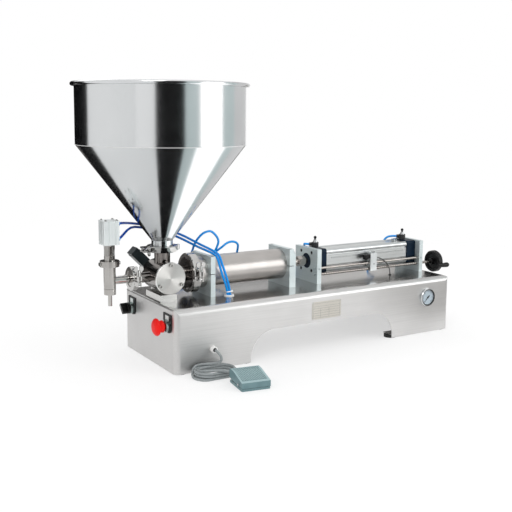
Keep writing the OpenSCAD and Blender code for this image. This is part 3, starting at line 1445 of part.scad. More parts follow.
base_cabinet();
rubber_feet();
nameplate();
gauge_case();
gauge_dial();
gauge_needle();
legend_plates();
estop_housing();
estop_button();
switch_housing();
switch_knob();
cable_gland();
pedal_base();
pedal_treadle();
pedal_cable();
pedal_coil();
hose_grommets();
solenoid_valves();
tube_brackets();
bracket_caps();
tube_end_plate();
front_plate();
rear_plate();
cap_screws();
filling_tube();
cylinder_head();
head_clamp();
head_wing_nut();
filling_piston();
piston_seals();
piston_rod();
air_piston();
air_caps();
air_tube();
speed_valves();
speed_knob_front();
speed_knob_rear();
guide_rod();
lead_screw();
handwheel();
wheel_grip();
carriage();
position_sensor();
valve_body();
valve_cover();
valve_rotor();
valve_block();
actuator_adapter();
valve_actuator();
hopper_cone();
hopper_wall();
hopper_clamp();
hopper_wing_nut();
outlet_clamp();
outlet_wing_nut();
nozzle_body();
nozzle_yoke();
nozzle_cylinder();
nozzle_plunger();
air_hoses();
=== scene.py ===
import math

import bpy
from mathutils import Matrix, Vector


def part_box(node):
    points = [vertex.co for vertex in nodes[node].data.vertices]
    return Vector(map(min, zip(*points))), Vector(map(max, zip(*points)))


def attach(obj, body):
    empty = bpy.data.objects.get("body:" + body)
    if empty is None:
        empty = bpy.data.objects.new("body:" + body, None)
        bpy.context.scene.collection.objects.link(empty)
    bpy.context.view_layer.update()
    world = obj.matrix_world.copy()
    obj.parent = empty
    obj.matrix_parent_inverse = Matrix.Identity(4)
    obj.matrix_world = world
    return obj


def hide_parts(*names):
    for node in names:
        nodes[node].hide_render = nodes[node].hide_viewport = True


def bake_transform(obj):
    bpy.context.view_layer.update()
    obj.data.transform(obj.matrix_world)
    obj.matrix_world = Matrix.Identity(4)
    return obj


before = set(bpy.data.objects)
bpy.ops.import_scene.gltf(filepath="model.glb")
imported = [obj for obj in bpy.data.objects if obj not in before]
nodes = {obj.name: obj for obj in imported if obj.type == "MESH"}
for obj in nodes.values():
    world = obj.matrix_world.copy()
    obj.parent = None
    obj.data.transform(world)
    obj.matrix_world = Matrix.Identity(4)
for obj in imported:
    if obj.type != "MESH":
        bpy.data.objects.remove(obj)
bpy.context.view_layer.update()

# Camera, at the height and angle of the photograph. The view is taken from the
# front left, about 2 m away, with the lens tipped down a little.
yaw, pitch, roll = math.radians(31.507), math.radians(7.624), math.radians(0.476)
standpoint = (-1.1605, -1.7726, 0.5966)
looking = Vector((math.sin(yaw) * math.cos(pitch), math.cos(yaw) * math.cos(pitch),
                  -math.sin(pitch)))
level_right = Vector((math.cos(yaw), -math.sin(yaw), 0))
level_up = level_right.cross(looking)
right = level_right * math.cos(roll) + level_up * math.sin(roll)
up = level_up * math.cos(roll) - level_right * math.sin(roll)
camera = bpy.data.objects.new("camera", bpy.data.cameras.new("camera"))
bpy.context.scene.collection.objects.link(camera)
camera.matrix_world = Matrix.Translation(standpoint) @ Matrix(
    (right, up, -looking)).transposed().to_4x4()
camera.data.sensor_width = 36
camera.data.lens = 57.58
camera.data.shift_x = -0.0002
camera.data.shift_y = -0.064
camera.data.clip_end = 30
bpy.context.scene.camera = camera
bpy.context.scene.view_settings.view_transform = "Standard"


# Foot switch cable: grey PVC jacket, 6 mm thick, bound up as a flat hank as it
# comes from the box. It leaves the gland in the front panel, drops behind the hank,
# comes in round its left end, makes nearly five turns and goes into the foot switch.
def linear(hex_colour):
    """An sRGB hex colour as linear red, green, blue and alpha."""
    parts = [int(hex_colour[i:i + 2], 16) / 255 for i in (1, 3, 5)]
    return [c / 12.92 if c <= 0.04045 else ((c + 0.055) / 1.055) ** 2.4 for c in parts] + [1]


def add(tree, kind, inputs=(), links=(), stops=(), **settings):
    """Adds a node with its settings, its fixed inputs and its links, each from a socket
    or from a node's first output, and a colour ramp's stops as places and colours."""
    node = tree.nodes.new("ShaderNode" + kind)
    for name, value in settings.items():
        setattr(node, name, value)
    for name, value in dict(inputs).items():
        node.inputs[name].default_value = value
    for name, source in dict(links).items():
        tree.links.new(getattr(source, "outputs", [source])[0], node.inputs[name])
    for number, (place, colour) in enumerate(stops):
        node.color_ramp.elements[number].position = place
        node.color_ramp.elements[number].color = linear(colour)
    return node


def finish_named(name):
    """A new empty material and its node tree."""
    material = bpy.data.materials.new(name)
    material.use_nodes = True
    material.node_tree.nodes.clear()
    return material, material.node_tree


def paint(material, *names):
    """Gives one finish to whole pieces, from the CAD frame or from this scene."""
    for name in names:
        piece = nodes[name] if name in nodes else bpy.data.objects[name]
        piece.data.materials.clear()
        piece.data.materials.append(material)
        if hasattr(piece.data, "polygons"):
            piece.data.polygons.foreach_set("material_index", [0] * len(piece.data.polygons))


def smooth_run(points, step):
    """Even points on the smooth curve through the given ones."""
    cuts = 40
    fine = []
    for i in range(len(points) - 1):
        a, b, c, d = (Vector(points[max(0, min(len(points) - 1, k))])
                      for k in (i - 1, i, i + 1, i + 2))
        for t in (k / cuts for k in range(cuts)):
            fine.append(0.5 * (2 * b + (c - a) * t + (2 * a - 5 * b + 4 * c - d) * t ** 2
                               + (3 * b - a - 3 * c + d) * t ** 3))
    fine.append(Vector(points[-1]))
    even, carried = [fine[0]], 0.0
    for a, b in zip(fine, fine[1:]):
        carried += (b - a).length
        if carried >= step:
            even.append(b)
            carried = 0.0
    if (even[-1] - fine[-1]).length < step / 2:
        even.pop()
    return even + [fine[-1]]


def round_cord(name, points, radius, sides=4):
    """A round cord, as a curve with thickness."""
    data = bpy.data.curves.new(name, "CURVE")
    data.dimensions = "3D"
    data.bevel_depth = radius
    data.bevel_resolution = sides
    data.use_fill_caps = True
    line = data.splines.new("POLY")
    line.points.add(len(points) - 1)
    for slot, p in zip(line.points, points):
        slot.co = (*p, 1)
    line.use_smooth = True
    cord = bpy.data.objects.new(name, data)
    bpy.context.scene.collection.objects.link(cord)
    return cord


base_left, base_front = -0.371, -0.136
cable_d = 0.006
hank_x, hank_y = base_left + 0.084, base_front - 0.040
half_straight = 0.020
outer_r, mean_r, inner_r = 0.030, 0.027, 0.024
lowest, layer = 0.003, 0.0061
# Radius and height of each turn, and the share of it where it crosses to the next
hank_slots = [(outer_r, lowest), (inner_r, lowest), (inner_r, lowest + layer),
              (outer_r, lowest + layer), (outer_r, lowest + 2 * layer),
              (inner_r, lowest + 2 * layer)]
crossings = [0.80, 0.64, 0.48, 0.32, 0.16]
crossing_len = 0.16
turn_count, share_step = 4.83, 0.016
last_rise, last_rise_len = 0.0012, 0.12
run_step = 0.004


def hank_point(share, radius, z):
    """A point on the hank's flat-sided loop, counted from the left end of its front side."""
    side, bend = 2 * half_straight, math.pi * mean_r
    s = (share % 1) * 2 * (side + bend)
    if s < side:
        x, y = s - half_straight, -radius
    elif s < side + bend:
        a = (s - side) / mean_r - math.pi / 2
        x, y = half_straight + radius * math.cos(a), radius * math.sin(a)
    elif s < 2 * side + bend:
        x, y = half_straight - (s - side - bend), radius
    else:
        a = (s - 2 * side - bend) / mean_r + math.pi / 2
        x, y = -half_straight + radius * math.cos(a), radius * math.sin(a)
    return Vector((hank_x + x, hank_y + y, z))


def eased(t):
    """A share of a change that starts and ends gently."""
    t = max(0.0, min(1.0, t))
    return t * t * (3 - 2 * t)


def rel(x, y, z):
    """A place in millimetres from the base's front left corner on the floor."""
    return (base_left + x / 1000, base_front + y / 1000, z / 1000)


to_hank = smooth_run([rel(98.5, -9.1, 50), rel(98.8, -16, 49.4), rel(100.5, -24, 45.5),
                      rel(103.5, -29, 39), rel(104.5, -30.5, 33), rel(102.5, -29.5, 28),
                      rel(97.5, -26, 24.6), rel(89, -21, 22.8), rel(78, -16.5, 22),
                      rel(66, -12.8, 21.7), rel(54, -10, 20.9), rel(45, -9.2, 17.6),
                      rel(37.5, -15.5, 12), rel(32, -23.8, 7), rel(28.8, -33, 3.9),
                      rel(27.9, -42, 3), rel(29.7, -51.5, 3), rel(34.3, -60.5, 3), rel(41, -67, 3),
                      rel(50, -70, 3), rel(64, -70, 3)], run_step)
turns = []
share = 0.0
while share < turn_count:
    turn = int(share)
    t = eased((share % 1 - crossings[turn]) / crossing_len)
    (radius, z), (after_r, after_z) = hank_slots[turn:turn + 2]
    radius, z = radius + (after_r - radius) * t, z + (after_z - z) * t
    z += last_rise * eased((share - turn_count + last_rise_len) / last_rise_len)
    turns.append(hank_point(share, radius, z))
    share += share_step
to_switch = smooth_run([rel(40.2, -37.5, 16.6), rel(41.4, -46.5, 18.2), rel(44.6, -53.5, 20.2),
                        rel(50.5, -59.6, 21.4), rel(60, -64.8, 21.8), rel(72, -70, 21.8),
                        rel(84, -75.6, 21), rel(94, -80.2, 18.6), rel(103, -84.2, 15.2),
                        rel(111, -88.4, 11.8), rel(117.5, -93.6, 9.6), rel(121.2, -99.8, 8.6),
                        rel(121.9, -106.5, 8.5), rel(120.8, -113.1, 8.5)], run_step)
route = to_hank + turns[1:] + to_switch
cable = round_cord("foot_switch_cable", route, cable_d / 2)

# PVC, extruded: a soft satin skin with faint waves from the die, about 5 mm apart
material, tree = finish_named("extruded_pvc_jacket")
place = add(tree, "TexCoord").outputs["Object"]
waves = add(tree, "TexNoise", {"Scale": 180, "Detail": 3}, {"Vector": place})
tint = add(tree, "ValToRGB", links={"Fac": waves}, stops=((0, "#767c7e"), (1, "#a0a6a7")))
bump = add(tree, "Bump", {"Strength": 0.15, "Distance": 0.0004}, {"Height": waves})
skin = add(tree, "BsdfPrincipled", {"Roughness": 0.38, "IOR": 1.53},
           {"Base Color": tint, "Normal": bump})
add(tree, "OutputMaterial", links={"Surface": skin})
paint(material, "foot_switch_cable")
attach(cable, "machine")
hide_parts("pedal_cable", "pedal_coil")


# Strain relief: a short cone of moulded black rubber. It sits in the front of the
# white gland and lets the cable bend.
def placed(name, mesh, body):
    """Puts a mesh in the scene and lets it ride on a body, if one is given."""
    mesh.set_sharp_from_angle(angle=math.radians(35))
    piece = bpy.data.objects.new(name, mesh)
    bpy.context.scene.collection.objects.link(piece)
    if body:
        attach(piece, body)
    return piece


def turned(name, outline, foot, way, body="machine", sides=40):
    """A turned piece: its outline as (radius, height) pairs along one direction."""
    axis = Vector(way).normalized()
    side = axis.orthogonal().normalized()
    other = axis.cross(side)
    points, faces = [], []
    for radius, height in outline:
        for k in range(sides):
            a = 2 * math.pi * k / sides
            out = (side * math.cos(a) + other * math.sin(a)) * radius
            points.append(Vector(foot) + axis * height + out)
    for ring in range(len(outline) - 1):
        for k in range(sides):
            a, b = ring * sides + k, ring * sides + (k + 1) % sides
            faces.append((a, b, b + sides, a + sides))
    faces.append(tuple(reversed(range(sides))))
    faces.append(tuple(range((len(outline) - 1) * sides, len(outline) * sides)))
    mesh = bpy.data.meshes.new(name)
    mesh.from_pydata(points, [], faces)
    mesh.shade_smooth()
    return placed(name, mesh, body)


relief = turned("gland_relief", [(0.0048, 0), (0.0048, 0.001), (0.0042, 0.003), (0.0036, 0.0042),
                                 (0.0034, 0.0044)], rel(98.5, -8.6, 50), (0, -1, -0.05))

# Studio: a white paper floor, a white surround and three lamps, and cards that only
# reflections see, as photographers set them round polished steel. The floor partly glows
# with its own light, a painted light that makes the shadows on it paler, and it fades into
# the surround a little way out.
floor_half = 6
own_light = 0.55
fade_from, fade_to = 1.2, 2.4
floor_corners = [(-floor_half, -floor_half, 0), (floor_half, -floor_half, 0),
                 (floor_half, floor_half, 0), (-floor_half, floor_half, 0)]
floor_mesh = bpy.data.meshes.new("floor")
floor_mesh.from_pydata(floor_corners, [], [(0, 1, 2, 3)])
floor = bpy.data.objects.new("floor", floor_mesh)
bpy.context.scene.collection.objects.link(floor)
material, tree = finish_named("paper_floor")
grain = add(tree, "TexNoise", {"Scale": 300, "Detail": 2},
            {"Vector": add(tree, "TexCoord").outputs["Object"]})
shade = add(tree, "ValToRGB", links={"Fac": grain}, stops=((0, "#fafafa"), (1, "#ffffff")))
paper = add(tree, "BsdfDiffuse", links={"Color": shade})
# Painted light: part of the floor's shading is a glow of its own colour, so shadows cast on it are
# shallower
floor_glow = add(tree, "Emission", {"Strength": 1.0}, {"Color": shade})
paper = add(tree, "MixShader", {0: own_light}, {1: paper, 2: floor_glow})
away = add(tree, "VectorMath", links={0: add(tree, "TexCoord").outputs["Object"]},
           operation="LENGTH")
away = add(tree, "MapRange", {"From Min": fade_from, "From Max": fade_to},
           {"Value": away.outputs["Value"]})
faded = add(tree, "MixShader", links={0: away, 1: paper, 2: add(tree, "BsdfTransparent")})
add(tree, "OutputMaterial", links={"Surface": faded})
paint(material, "floor")

# Surround: white where the camera, polished steel and glass see it, a little weaker
# as a light
world = bpy.data.worlds.new("surround")
bpy.context.scene.world = world
world.use_nodes = True
tree = world.node_tree
tree.nodes.clear()
path = add(tree, "LightPath")
seen = add(tree, "Math", links={0: path.outputs["Is Camera Ray"], 1: path.outputs["Is Glossy Ray"]},
           operation="MAXIMUM")
seen = add(tree, "Math", links={0: seen, 1: path.outputs["Is Transmission Ray"]},
           operation="MAXIMUM")
strength = add(tree, "MapRange", {"To Min": 0.95, "To Max": 1.0}, {"Value": seen})
sky = add(tree, "Background", {"Color": (1, 1, 1, 1)}, {"Strength": strength})
add(tree, "OutputWorld", links={"Surface": sky})

# Lamps: a key above the camera's left, a tall one on the right that polished steel
# shows as a white band, and one behind
hopper_x = -0.338


def lamp(name, place, aim, size, power):
    """A rectangular lamp that faces a point."""
    light = bpy.data.lights.new(name, "AREA")
    light.shape = "RECTANGLE"
    light.size, light.size_y = size
    light.energy = power
    stand = bpy.data.objects.new(name, light)
    bpy.context.scene.collection.objects.link(stand)
    turn = (Vector(aim) - Vector(place)).to_track_quat("-Z", "Y")
    stand.matrix_world = Matrix.Translation(place) @ turn.to_matrix().to_4x4()


lamp("key_lamp", (-1.6, -1.9, 2.3), (0, 0, 0.25), (1.2, 0.8), 14)
lamp("band_lamp", (1.72, -2.2, 0.75), (hopper_x, 0, 0.55), (1.6, 2.2), 22)
lamp("back_lamp", (-0.2, 2.2, 2.2), (0, 0, 0.3), (2.0, 0.8), 8)

# Cards: upright ones bent round the hopper, a wedge of card below each, and flat ones
# that the base, the plates and the air cylinder show. Only reflections see them.
card_distance, card_foot = 3.2, -0.3
skirt_z, skirt_inner, skirt_outer = 0.268, 0.03, 1.4
degrees_per_face = 6
low_card_y, low_card_top = 0.95, 0.42


def card(name, corners, faces=((0, 1, 2, 3),)):
    """A sheet that only reflections see."""
    mesh = bpy.data.meshes.new(name)
    mesh.from_pydata(corners, [], faces)
    board = bpy.data.objects.new(name, mesh)
    bpy.context.scene.collection.objects.link(board)
    board.visible_camera = board.visible_diffuse = board.visible_shadow = False
    board.visible_transmission = False


def curved_card(name, start, end, low, high):
    """An upright card bent round the hopper, between two angles from +X."""
    steps = math.ceil((end - start) / degrees_per_face)
    corners = []
    for k in range(steps + 1):
        a = math.radians(start + (end - start) * k / steps)
        corners += [(hopper_x + card_distance * math.cos(a), card_distance * math.sin(a), z)
                    for z in (low, high)]
    card(name, corners, [(2 * k, 2 * k + 2, 2 * k + 3, 2 * k + 1) for k in range(steps)])


def skirt_card(name, start, end):
    """A flat wedge of card under the hopper. It continues an upright card's band
    down the cone, and only what is above it sees it."""
    steps = math.ceil((end - start) / degrees_per_face)
    corners = []
    for k in range(steps + 1):
        a = math.radians(start + (end - start) * k / steps)
        corners += [(hopper_x + r * math.cos(a), r * math.sin(a), skirt_z)
                    for r in (skirt_inner, skirt_outer)]
    card(name, corners, [(2 * k, 2 * k + 1, 2 * k + 3, 2 * k + 2) for k in range(steps)])


for name, start, end, top, skirt_start, skirt_end in (
        ("behind_camera", 238, 275, 3.0, 238, 275), ("far_left", 66, 137, 1.6, 66, 141),
        ("left", 137, 214, 3.0, 141, 238), ("mid_right", 275, 294, 3.0, 275, 292),
        ("right", 332, 355, 3.0, 340, 357), ("far_right", 355, 400, 3.0, 357, 400)):
    curved_card("card_" + name, start, end, card_foot, top)
    skirt_card("skirt_" + name, skirt_start, skirt_end)
skirt_card("skirt_lit", 292, 340)
curved_card("card_over_lamp", 290, 336, 2.0, 2.35)
for name, start, end in (("card_low_behind", -1.0, 0.7), ("card_low_behind_right", 0.7, 2.4)):
    card(name, [(start, low_card_y, 0.0), (end, low_card_y, 0.0),
                (end, low_card_y, low_card_top), (start, low_card_y, low_card_top)])
card("card_overhead", [(0.1, -0.8, 1.65), (0.1, -0.47, 1.65), (1.6, -0.47, 1.65),
                       (1.6, -0.8, 1.65)])
card("card_floor_right", [(0.45, -0.25, 0.004), (0.7, -1.6, 0.004), (2.4, -2.2, 0.004),
                          (2.4, -0.25, 0.004)])


def card_paper(name, dark, light, glow=0.0):
    """Matt card, even in colour, with a faint nap. It is clear from below, so that what
    lies under a wedge or a floor card doesn't show it."""
    material, tree = finish_named(name)
    nap = add(tree, "TexNoise", {"Scale": 90}, {"Vector": add(tree, "TexCoord").outputs["Object"]})
    tint = add(tree, "ValToRGB", links={"Fac": nap}, stops=((0, dark), (1, light)))
    flock = add(tree, "BsdfPrincipled", {"Roughness": 1, "Specular IOR Level": 0,
                                         "Emission Strength": glow},
                {"Base Color": tint, "Emission Color": tint})
    clear = add(tree, "BsdfTransparent")
    facing = add(tree, "NewGeometry").outputs["Normal"]
    facing = add(tree, "SeparateXYZ", links={"Vector": facing})
    from_below = add(tree, "Math", {1: -0.5}, {0: facing.outputs["Z"]}, operation="LESS_THAN")
    side = add(tree, "MixShader", links={0: from_below, 1: flock, 2: clear})
    add(tree, "OutputMaterial", links={"Surface": side})
    return material


paint(card_paper("black_flock_card", "#0c0c0d", "#131314"),
      "card_behind_camera", "card_far_left", "skirt_behind_camera", "skirt_far_left")
paint(card_paper("grey_card", "#575553", "#636160"), "card_low_behind", "card_over_lamp")
paint(card_paper("warm_grey_card", "#706d6a", "#7c7976"), "card_floor_right")
paint(card_paper("middle_grey_card", "#969390", "#a29f9c"), "card_low_behind_right",
      "card_overhead")
paint(card_paper("pale_grey_card", "#dddede", "#e5e6e6", 0.12), "card_left", "skirt_left")
paint(card_paper("light_grey_card", "#cfcfcf", "#d7d7d7"), "card_far_right", "skirt_far_right")
paint(card_paper("lit_card", "#fafafa", "#ffffff", 0.7), "skirt_lit")
paint(card_paper("blue_grey_card", "#c0cccc", "#cad6d6"), "card_mid_right", "card_right",
      "skirt_mid_right", "skirt_right")

# Base cabinet: 1.5 mm stainless sheet, folded, welded and ground at the left end.
# The sides are brushed along their length and the top still has its mill polish.
material, tree = finish_named("brushed_stainless_sheet")
place = add(tree, "TexCoord").outputs["Object"]
# The brush lines are drawn 2.4 mm wide and 200 mm long, a few times the real width, as
# a pixel of the render is about 2 mm
stretched = add(tree, "Mapping", {"Scale": (5, 420, 420)}, {"Vector": place})
lines = add(tree, "TexNoise", {"Scale": 1, "Detail": 3, "Roughness": 0.6}, {"Vector": stretched})
cloud = add(tree, "TexNoise", {"Scale": 9, "Detail": 3}, {"Vector": place})
both = add(tree, "Mix", {"Factor": 0.45}, {2: lines, 3: cloud})
tint = add(tree, "ValToRGB", links={"Fac": both}, stops=((0.3, "#c4c3c2"), (0.7, "#d4d3d2")))
way_up = add(tree, "SeparateXYZ", links={"Vector": add(tree, "NewGeometry").outputs["True Normal"]})
on_top = add(tree, "MapRange", {"From Min": 0.75, "From Max": 0.98}, {"Value": way_up.outputs["Z"]})
rough = add(tree, "MapRange", {"To Min": 0.4, "To Max": 0.21}, {"Value": on_top})
bump = add(tree, "Bump", {"Strength": 0.1, "Distance": 0.0003}, {"Height": lines})
steel = add(tree, "BsdfPrincipled", {"Metallic": 1},
            {"Base Color": tint, "Roughness": rough, "Normal": bump})
add(tree, "OutputMaterial", links={"Surface": steel})
paint(material, "base_cabinet")


# Rubber feet: moulded black rubber discs, screwed on from below. The cable's strain
# relief is of the same rubber. It gives a dull, slightly grey black.
def moulded(name, dark, light, roughness, grit_mm, strength=0.2, ior=1.5):
    """A moulded, cast or painted skin: an even colour with a fine grit in it."""
    material, tree = finish_named(name)
    place = add(tree, "TexCoord").outputs["Object"]
    grit = add(tree, "TexNoise", {"Scale": 1000 / grit_mm, "Detail": 2}, {"Vector": place})
    cloud = add(tree, "TexNoise", {"Scale": 25, "Detail": 2}, {"Vector": place})
    tint = add(tree, "ValToRGB", links={"Fac": cloud}, stops=((0.35, dark), (0.65, light)))
    rough = add(tree, "MapRange", {"To Min": roughness - 0.05, "To Max": roughness + 0.05},
                {"Value": grit})
    bump = add(tree, "Bump", {"Strength": strength, "Distance": 0.0002}, {"Height": grit})
    skin = add(tree, "BsdfPrincipled", {"IOR": ior},
               {"Base Color": tint, "Roughness": rough, "Normal": bump})
    add(tree, "OutputMaterial", links={"Surface": skin})
    return material


paint(moulded("black_rubber", "#161617", "#242425", 0.7, 1.2), "rubber_feet", "gland_relief")

# Hopper: rolled and welded stainless sheet, polished bright, with a wired rim. It
# shows the room as bands that run down to the outlet. The buffing's gloss varies over
# about 20 mm, and the tint over about 200 mm.
material, tree = finish_named("polished_hopper_sheet")
place = add(tree, "Mapping", {"Location": (-hopper_x, 0, 0)},
            {"Vector": add(tree, "TexCoord").outputs["Object"]})
buff = add(tree, "TexNoise", {"Scale": 45, "Detail": 4}, {"Vector": place})
slow = add(tree, "TexNoise", {"Scale": 5, "Detail": 1}, {"Vector": place})
tint = add(tree, "ValToRGB", links={"Fac": slow}, stops=((0.35, "#d2d4d5"), (0.65, "#dedfe0")))
rough = add(tree, "MapRange", {"To Min": 0.13, "To Max": 0.18}, {"Value": buff})
bump = add(tree, "Bump", {"Strength": 0.02, "Distance": 0.001}, {"Height": buff})
steel = add(tree, "BsdfPrincipled", {"Metallic": 1},
            {"Base Color": tint, "Roughness": rough, "Normal": bump})
add(tree, "OutputMaterial", links={"Surface": steel})
paint(material, "hopper_cone", "hopper_wall")

# Weld between the hopper's wall and cone: ground nearly flush, so it shows as a fine
# pale line with short scratches
weld_cuts = 120
low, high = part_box("hopper_cone")
seam_r, seam_z = (high[0] - low[0]) / 2, high[2]
bead = [(seam_r - 0.001, -0.0009), (seam_r + 0.0003, -0.0006), (seam_r + 0.0003, 0.0006),
        (seam_r - 0.001, 0.0009)]
weld = bpy.data.meshes.new("hopper_weld")
points, faces = [], []
for k in range(weld_cuts):
    a = math.radians(360 / weld_cuts * k)
    here, there = 4 * k, 4 * ((k + 1) % weld_cuts)
    points += [(hopper_x + r * math.cos(a), r * math.sin(a), seam_z + z) for r, z in bead]
    faces += [(here + j, there + j, there + (j + 1) % 4, here + (j + 1) % 4) for j in range(4)]
weld.from_pydata(points, [], faces)
placed("hopper_weld", weld, "machine")
material, tree = finish_named("ground_weld")
scratch = add(tree, "TexNoise", {"Scale": 800, "Detail": 2},
              {"Vector": add(tree, "TexCoord").outputs["Object"]})
rough = add(tree, "MapRange", {"To Min": 0.5, "To Max": 0.7}, {"Value": scratch})
bead_steel = add(tree, "BsdfPrincipled", {"Metallic": 0.5, "Base Color": linear("#dcdcdb")},
                 {"Roughness": rough})
add(tree, "OutputMaterial", links={"Surface": bead_steel})
paint(material, "hopper_weld")


# Filling cylinder: honed stainless tube with welded clamp flanges, its piston with
# PTFE seals and the dark turned head. The ground rods of the machine and the pistons
# on them share one finish.
def polished_steel(name, dark, light, roughness, wave=0.04):
    """Polished or turned steel, with waves about 80 mm long in its face and gloss that
    varies over about 17 mm."""
    material, tree = finish_named(name)
    place = add(tree, "TexCoord").outputs["Object"]
    buff = add(tree, "TexNoise", {"Scale": 60, "Detail": 4}, {"Vector": place})
    slow = add(tree, "TexNoise", {"Scale": 12, "Detail": 2}, {"Vector": place})
    tint = add(tree, "ValToRGB", links={"Fac": slow}, stops=((0.35, dark), (0.65, light)))
    rough = add(tree, "MapRange", {"To Min": roughness * 0.8, "To Max": roughness * 1.25},
                {"Value": buff})
    bump = add(tree, "Bump", {"Strength": wave, "Distance": 0.002}, {"Height": slow})
    steel = add(tree, "BsdfPrincipled", {"Metallic": 1},
                {"Base Color": tint, "Roughness": rough, "Normal": bump})
    add(tree, "OutputMaterial", links={"Surface": steel})
    return material


paint(polished_steel("honed_tube", "#aca8a5", "#bab6b3", 0.3, 0.01), "filling_tube",
      "filling_piston")
paint(polished_steel("dark_turned_head", "#45413e", "#524d4a", 0.25), "cylinder_head")
paint(polished_steel("ground_rod_steel", "#948f8b", "#a8a4a0", 0.16), "piston_rod", "air_piston",
      "guide_rod", "nozzle_plunger")
paint(moulded("white_ptfe", "#e6e4dc", "#f0eee7", 0.45, 1.0), "piston_seals")

# Clamps, valve and nozzle: the clamps and the valve are investment cast stainless and
# tumbled bright, with soft waves in what they reflect. The nozzle is turned.
paint(polished_steel("cast_clamp_steel", "#acaba9", "#cbcac8", 0.13, 0.2), "head_clamp",
      "hopper_clamp", "outlet_clamp", "head_wing_nut", "hopper_wing_nut", "outlet_wing_nut")
# The valve is tinted darker and browner than the clamps of the same cast steel: a painted dark
# reflection
paint(polished_steel("valve_steel_painted_dark", "#7c7774", "#96928f", 0.16, 0.15), "valve_body",
      "valve_rotor")
paint(polished_steel("turned_nozzle_steel", "#a5a29f", "#bbb9b6", 0.13, 0.02), "nozzle_body",
      "nozzle_yoke")

# Valve cover: faced and chamfered stainless disc, held by three screws. The tool leaves
# fine rings, so light fans out from its middle. They are drawn 1.2 mm apart, wider than
# real ones.
material, tree = finish_named("faced_cover_steel")
chamfer_w = 0.0011
low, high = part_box("valve_cover")
middle = (Vector(low) + Vector(high)) / 2
place = add(tree, "Mapping", {"Location": -middle},
            {"Vector": add(tree, "TexCoord").outputs["Object"]})
rings = add(tree, "TexWave", {"Scale": 260, "Distortion": 0.4, "Detail": 1}, {"Vector": place},
            wave_type="RINGS", rings_direction="Y")
tint = add(tree, "ValToRGB", links={"Fac": rings.outputs["Fac"]},
           stops=((0, "#bebdba"), (1, "#d0cfcc")))
flat_place = add(tree, "Mapping", {"Scale": (1, 0, 1)}, {"Vector": place})
reach = add(tree, "VectorMath", links={0: flat_place}, operation="LENGTH")
# Painted highlight: the chamfered rim, chamfer_w wide, is tinted near white as a bright ring along
# the edge
chamfer_highlight = add(tree, "Math", {1: (high[0] - low[0]) / 2 - chamfer_w}, {0: reach.outputs["Value"]},
              operation="GREATER_THAN")
tint = add(tree, "MixRGB", {"Color2": linear("#f2f2f0")}, {"Fac": chamfer_highlight, "Color1": tint})
tangent = add(tree, "Tangent", direction_type="RADIAL", axis="Y")
cover_steel = add(tree, "BsdfPrincipled", {"Metallic": 1, "Roughness": 0.36, "Anisotropic": 0.85},
                  {"Base Color": tint, "Tangent": tangent})
add(tree, "OutputMaterial", links={"Surface": cover_steel})
paint(material, "valve_cover")


# Plates and brackets: aluminium plate, milled edges, faces ground across and clear
# anodised, so they are part matt
def brushed_steel(name, grain, dark, light, roughness, lines_mm, bump_strength=0.12, metallic=1.0):
    """Steel or aluminium with lines along one axis, 80 times as long as wide. They are
    drawn a few times wider than real ones, as a pixel of the render is about 2 mm."""
    material, tree = finish_named(name)
    place = add(tree, "TexCoord").outputs["Object"]
    across = 1000 / lines_mm
    scale = [across * 0.012 if axis in grain else across for axis in "xyz"]
    stretched = add(tree, "Mapping", {"Scale": scale}, {"Vector": place})
    lines = add(tree, "TexNoise", {"Scale": 1, "Detail": 3, "Roughness": 0.6},
                {"Vector": stretched})
    cloud = add(tree, "TexNoise", {"Scale": 14, "Detail": 2}, {"Vector": place})
    both = add(tree, "Mix", {"Factor": 0.3}, {2: lines, 3: cloud})
    tint = add(tree, "ValToRGB", links={"Fac": both}, stops=((0.3, dark), (0.7, light)))
    rough = add(tree, "MapRange", {"To Min": roughness - 0.05, "To Max": roughness + 0.08},
                {"Value": lines})
    bump = add(tree, "Bump", {"Strength": bump_strength, "Distance": 0.0003}, {"Height": lines})
    steel = add(tree, "BsdfPrincipled", {"Metallic": metallic},
                {"Base Color": tint, "Roughness": rough, "Normal": bump})
    add(tree, "OutputMaterial", links={"Surface": steel})
    return material


paint(brushed_steel("ground_plate", "y", "#c0cbcc", "#d2dbdc", 0.42, 1.8, metallic=0.6),
      "tube_brackets", "bracket_caps", "tube_end_plate", "front_plate", "rear_plate")
paint(brushed_steel("milled_block", "x", "#c4c3c1", "#d8d7d5", 0.24, 1.6), "valve_block")

# Cap screws: steel with a black oxide skin. The three of the valve cover are bright
# stainless, and they are the only ones that lie left of cover_screws_end.
cover_screws_end = -0.28
screws = moulded("black_oxide_screw", "#1b1b1d", "#2b2b2d", 0.35, 1.0).copy()
screws.name = "cap_screw_finishes"
tree = screws.node_tree
spot = add(tree, "SeparateXYZ", links={"Vector": add(tree, "TexCoord").outputs["Object"]})
is_left = add(tree, "Math", {1: cover_screws_end}, {0: spot.outputs["X"]}, operation="LESS_THAN")
blast = add(tree, "TexNoise", {"Scale": 700}, {"Vector": add(tree, "TexCoord").outputs["Object"]})
shine = add(tree, "MapRange", {"To Min": 0.15, "To Max": 0.3}, {"Value": blast})
bright = add(tree, "BsdfPrincipled", {"Metallic": 1, "Base Color": linear("#aaa9a6")},
             {"Roughness": shine})
black = tree.nodes["Principled BSDF"]
either = add(tree, "MixShader", links={0: is_left, 1: black, 2: bright})
tree.links.new(either.outputs["Shader"], tree.nodes["Material Output"].inputs["Surface"])
paint(screws, "cap_screws")

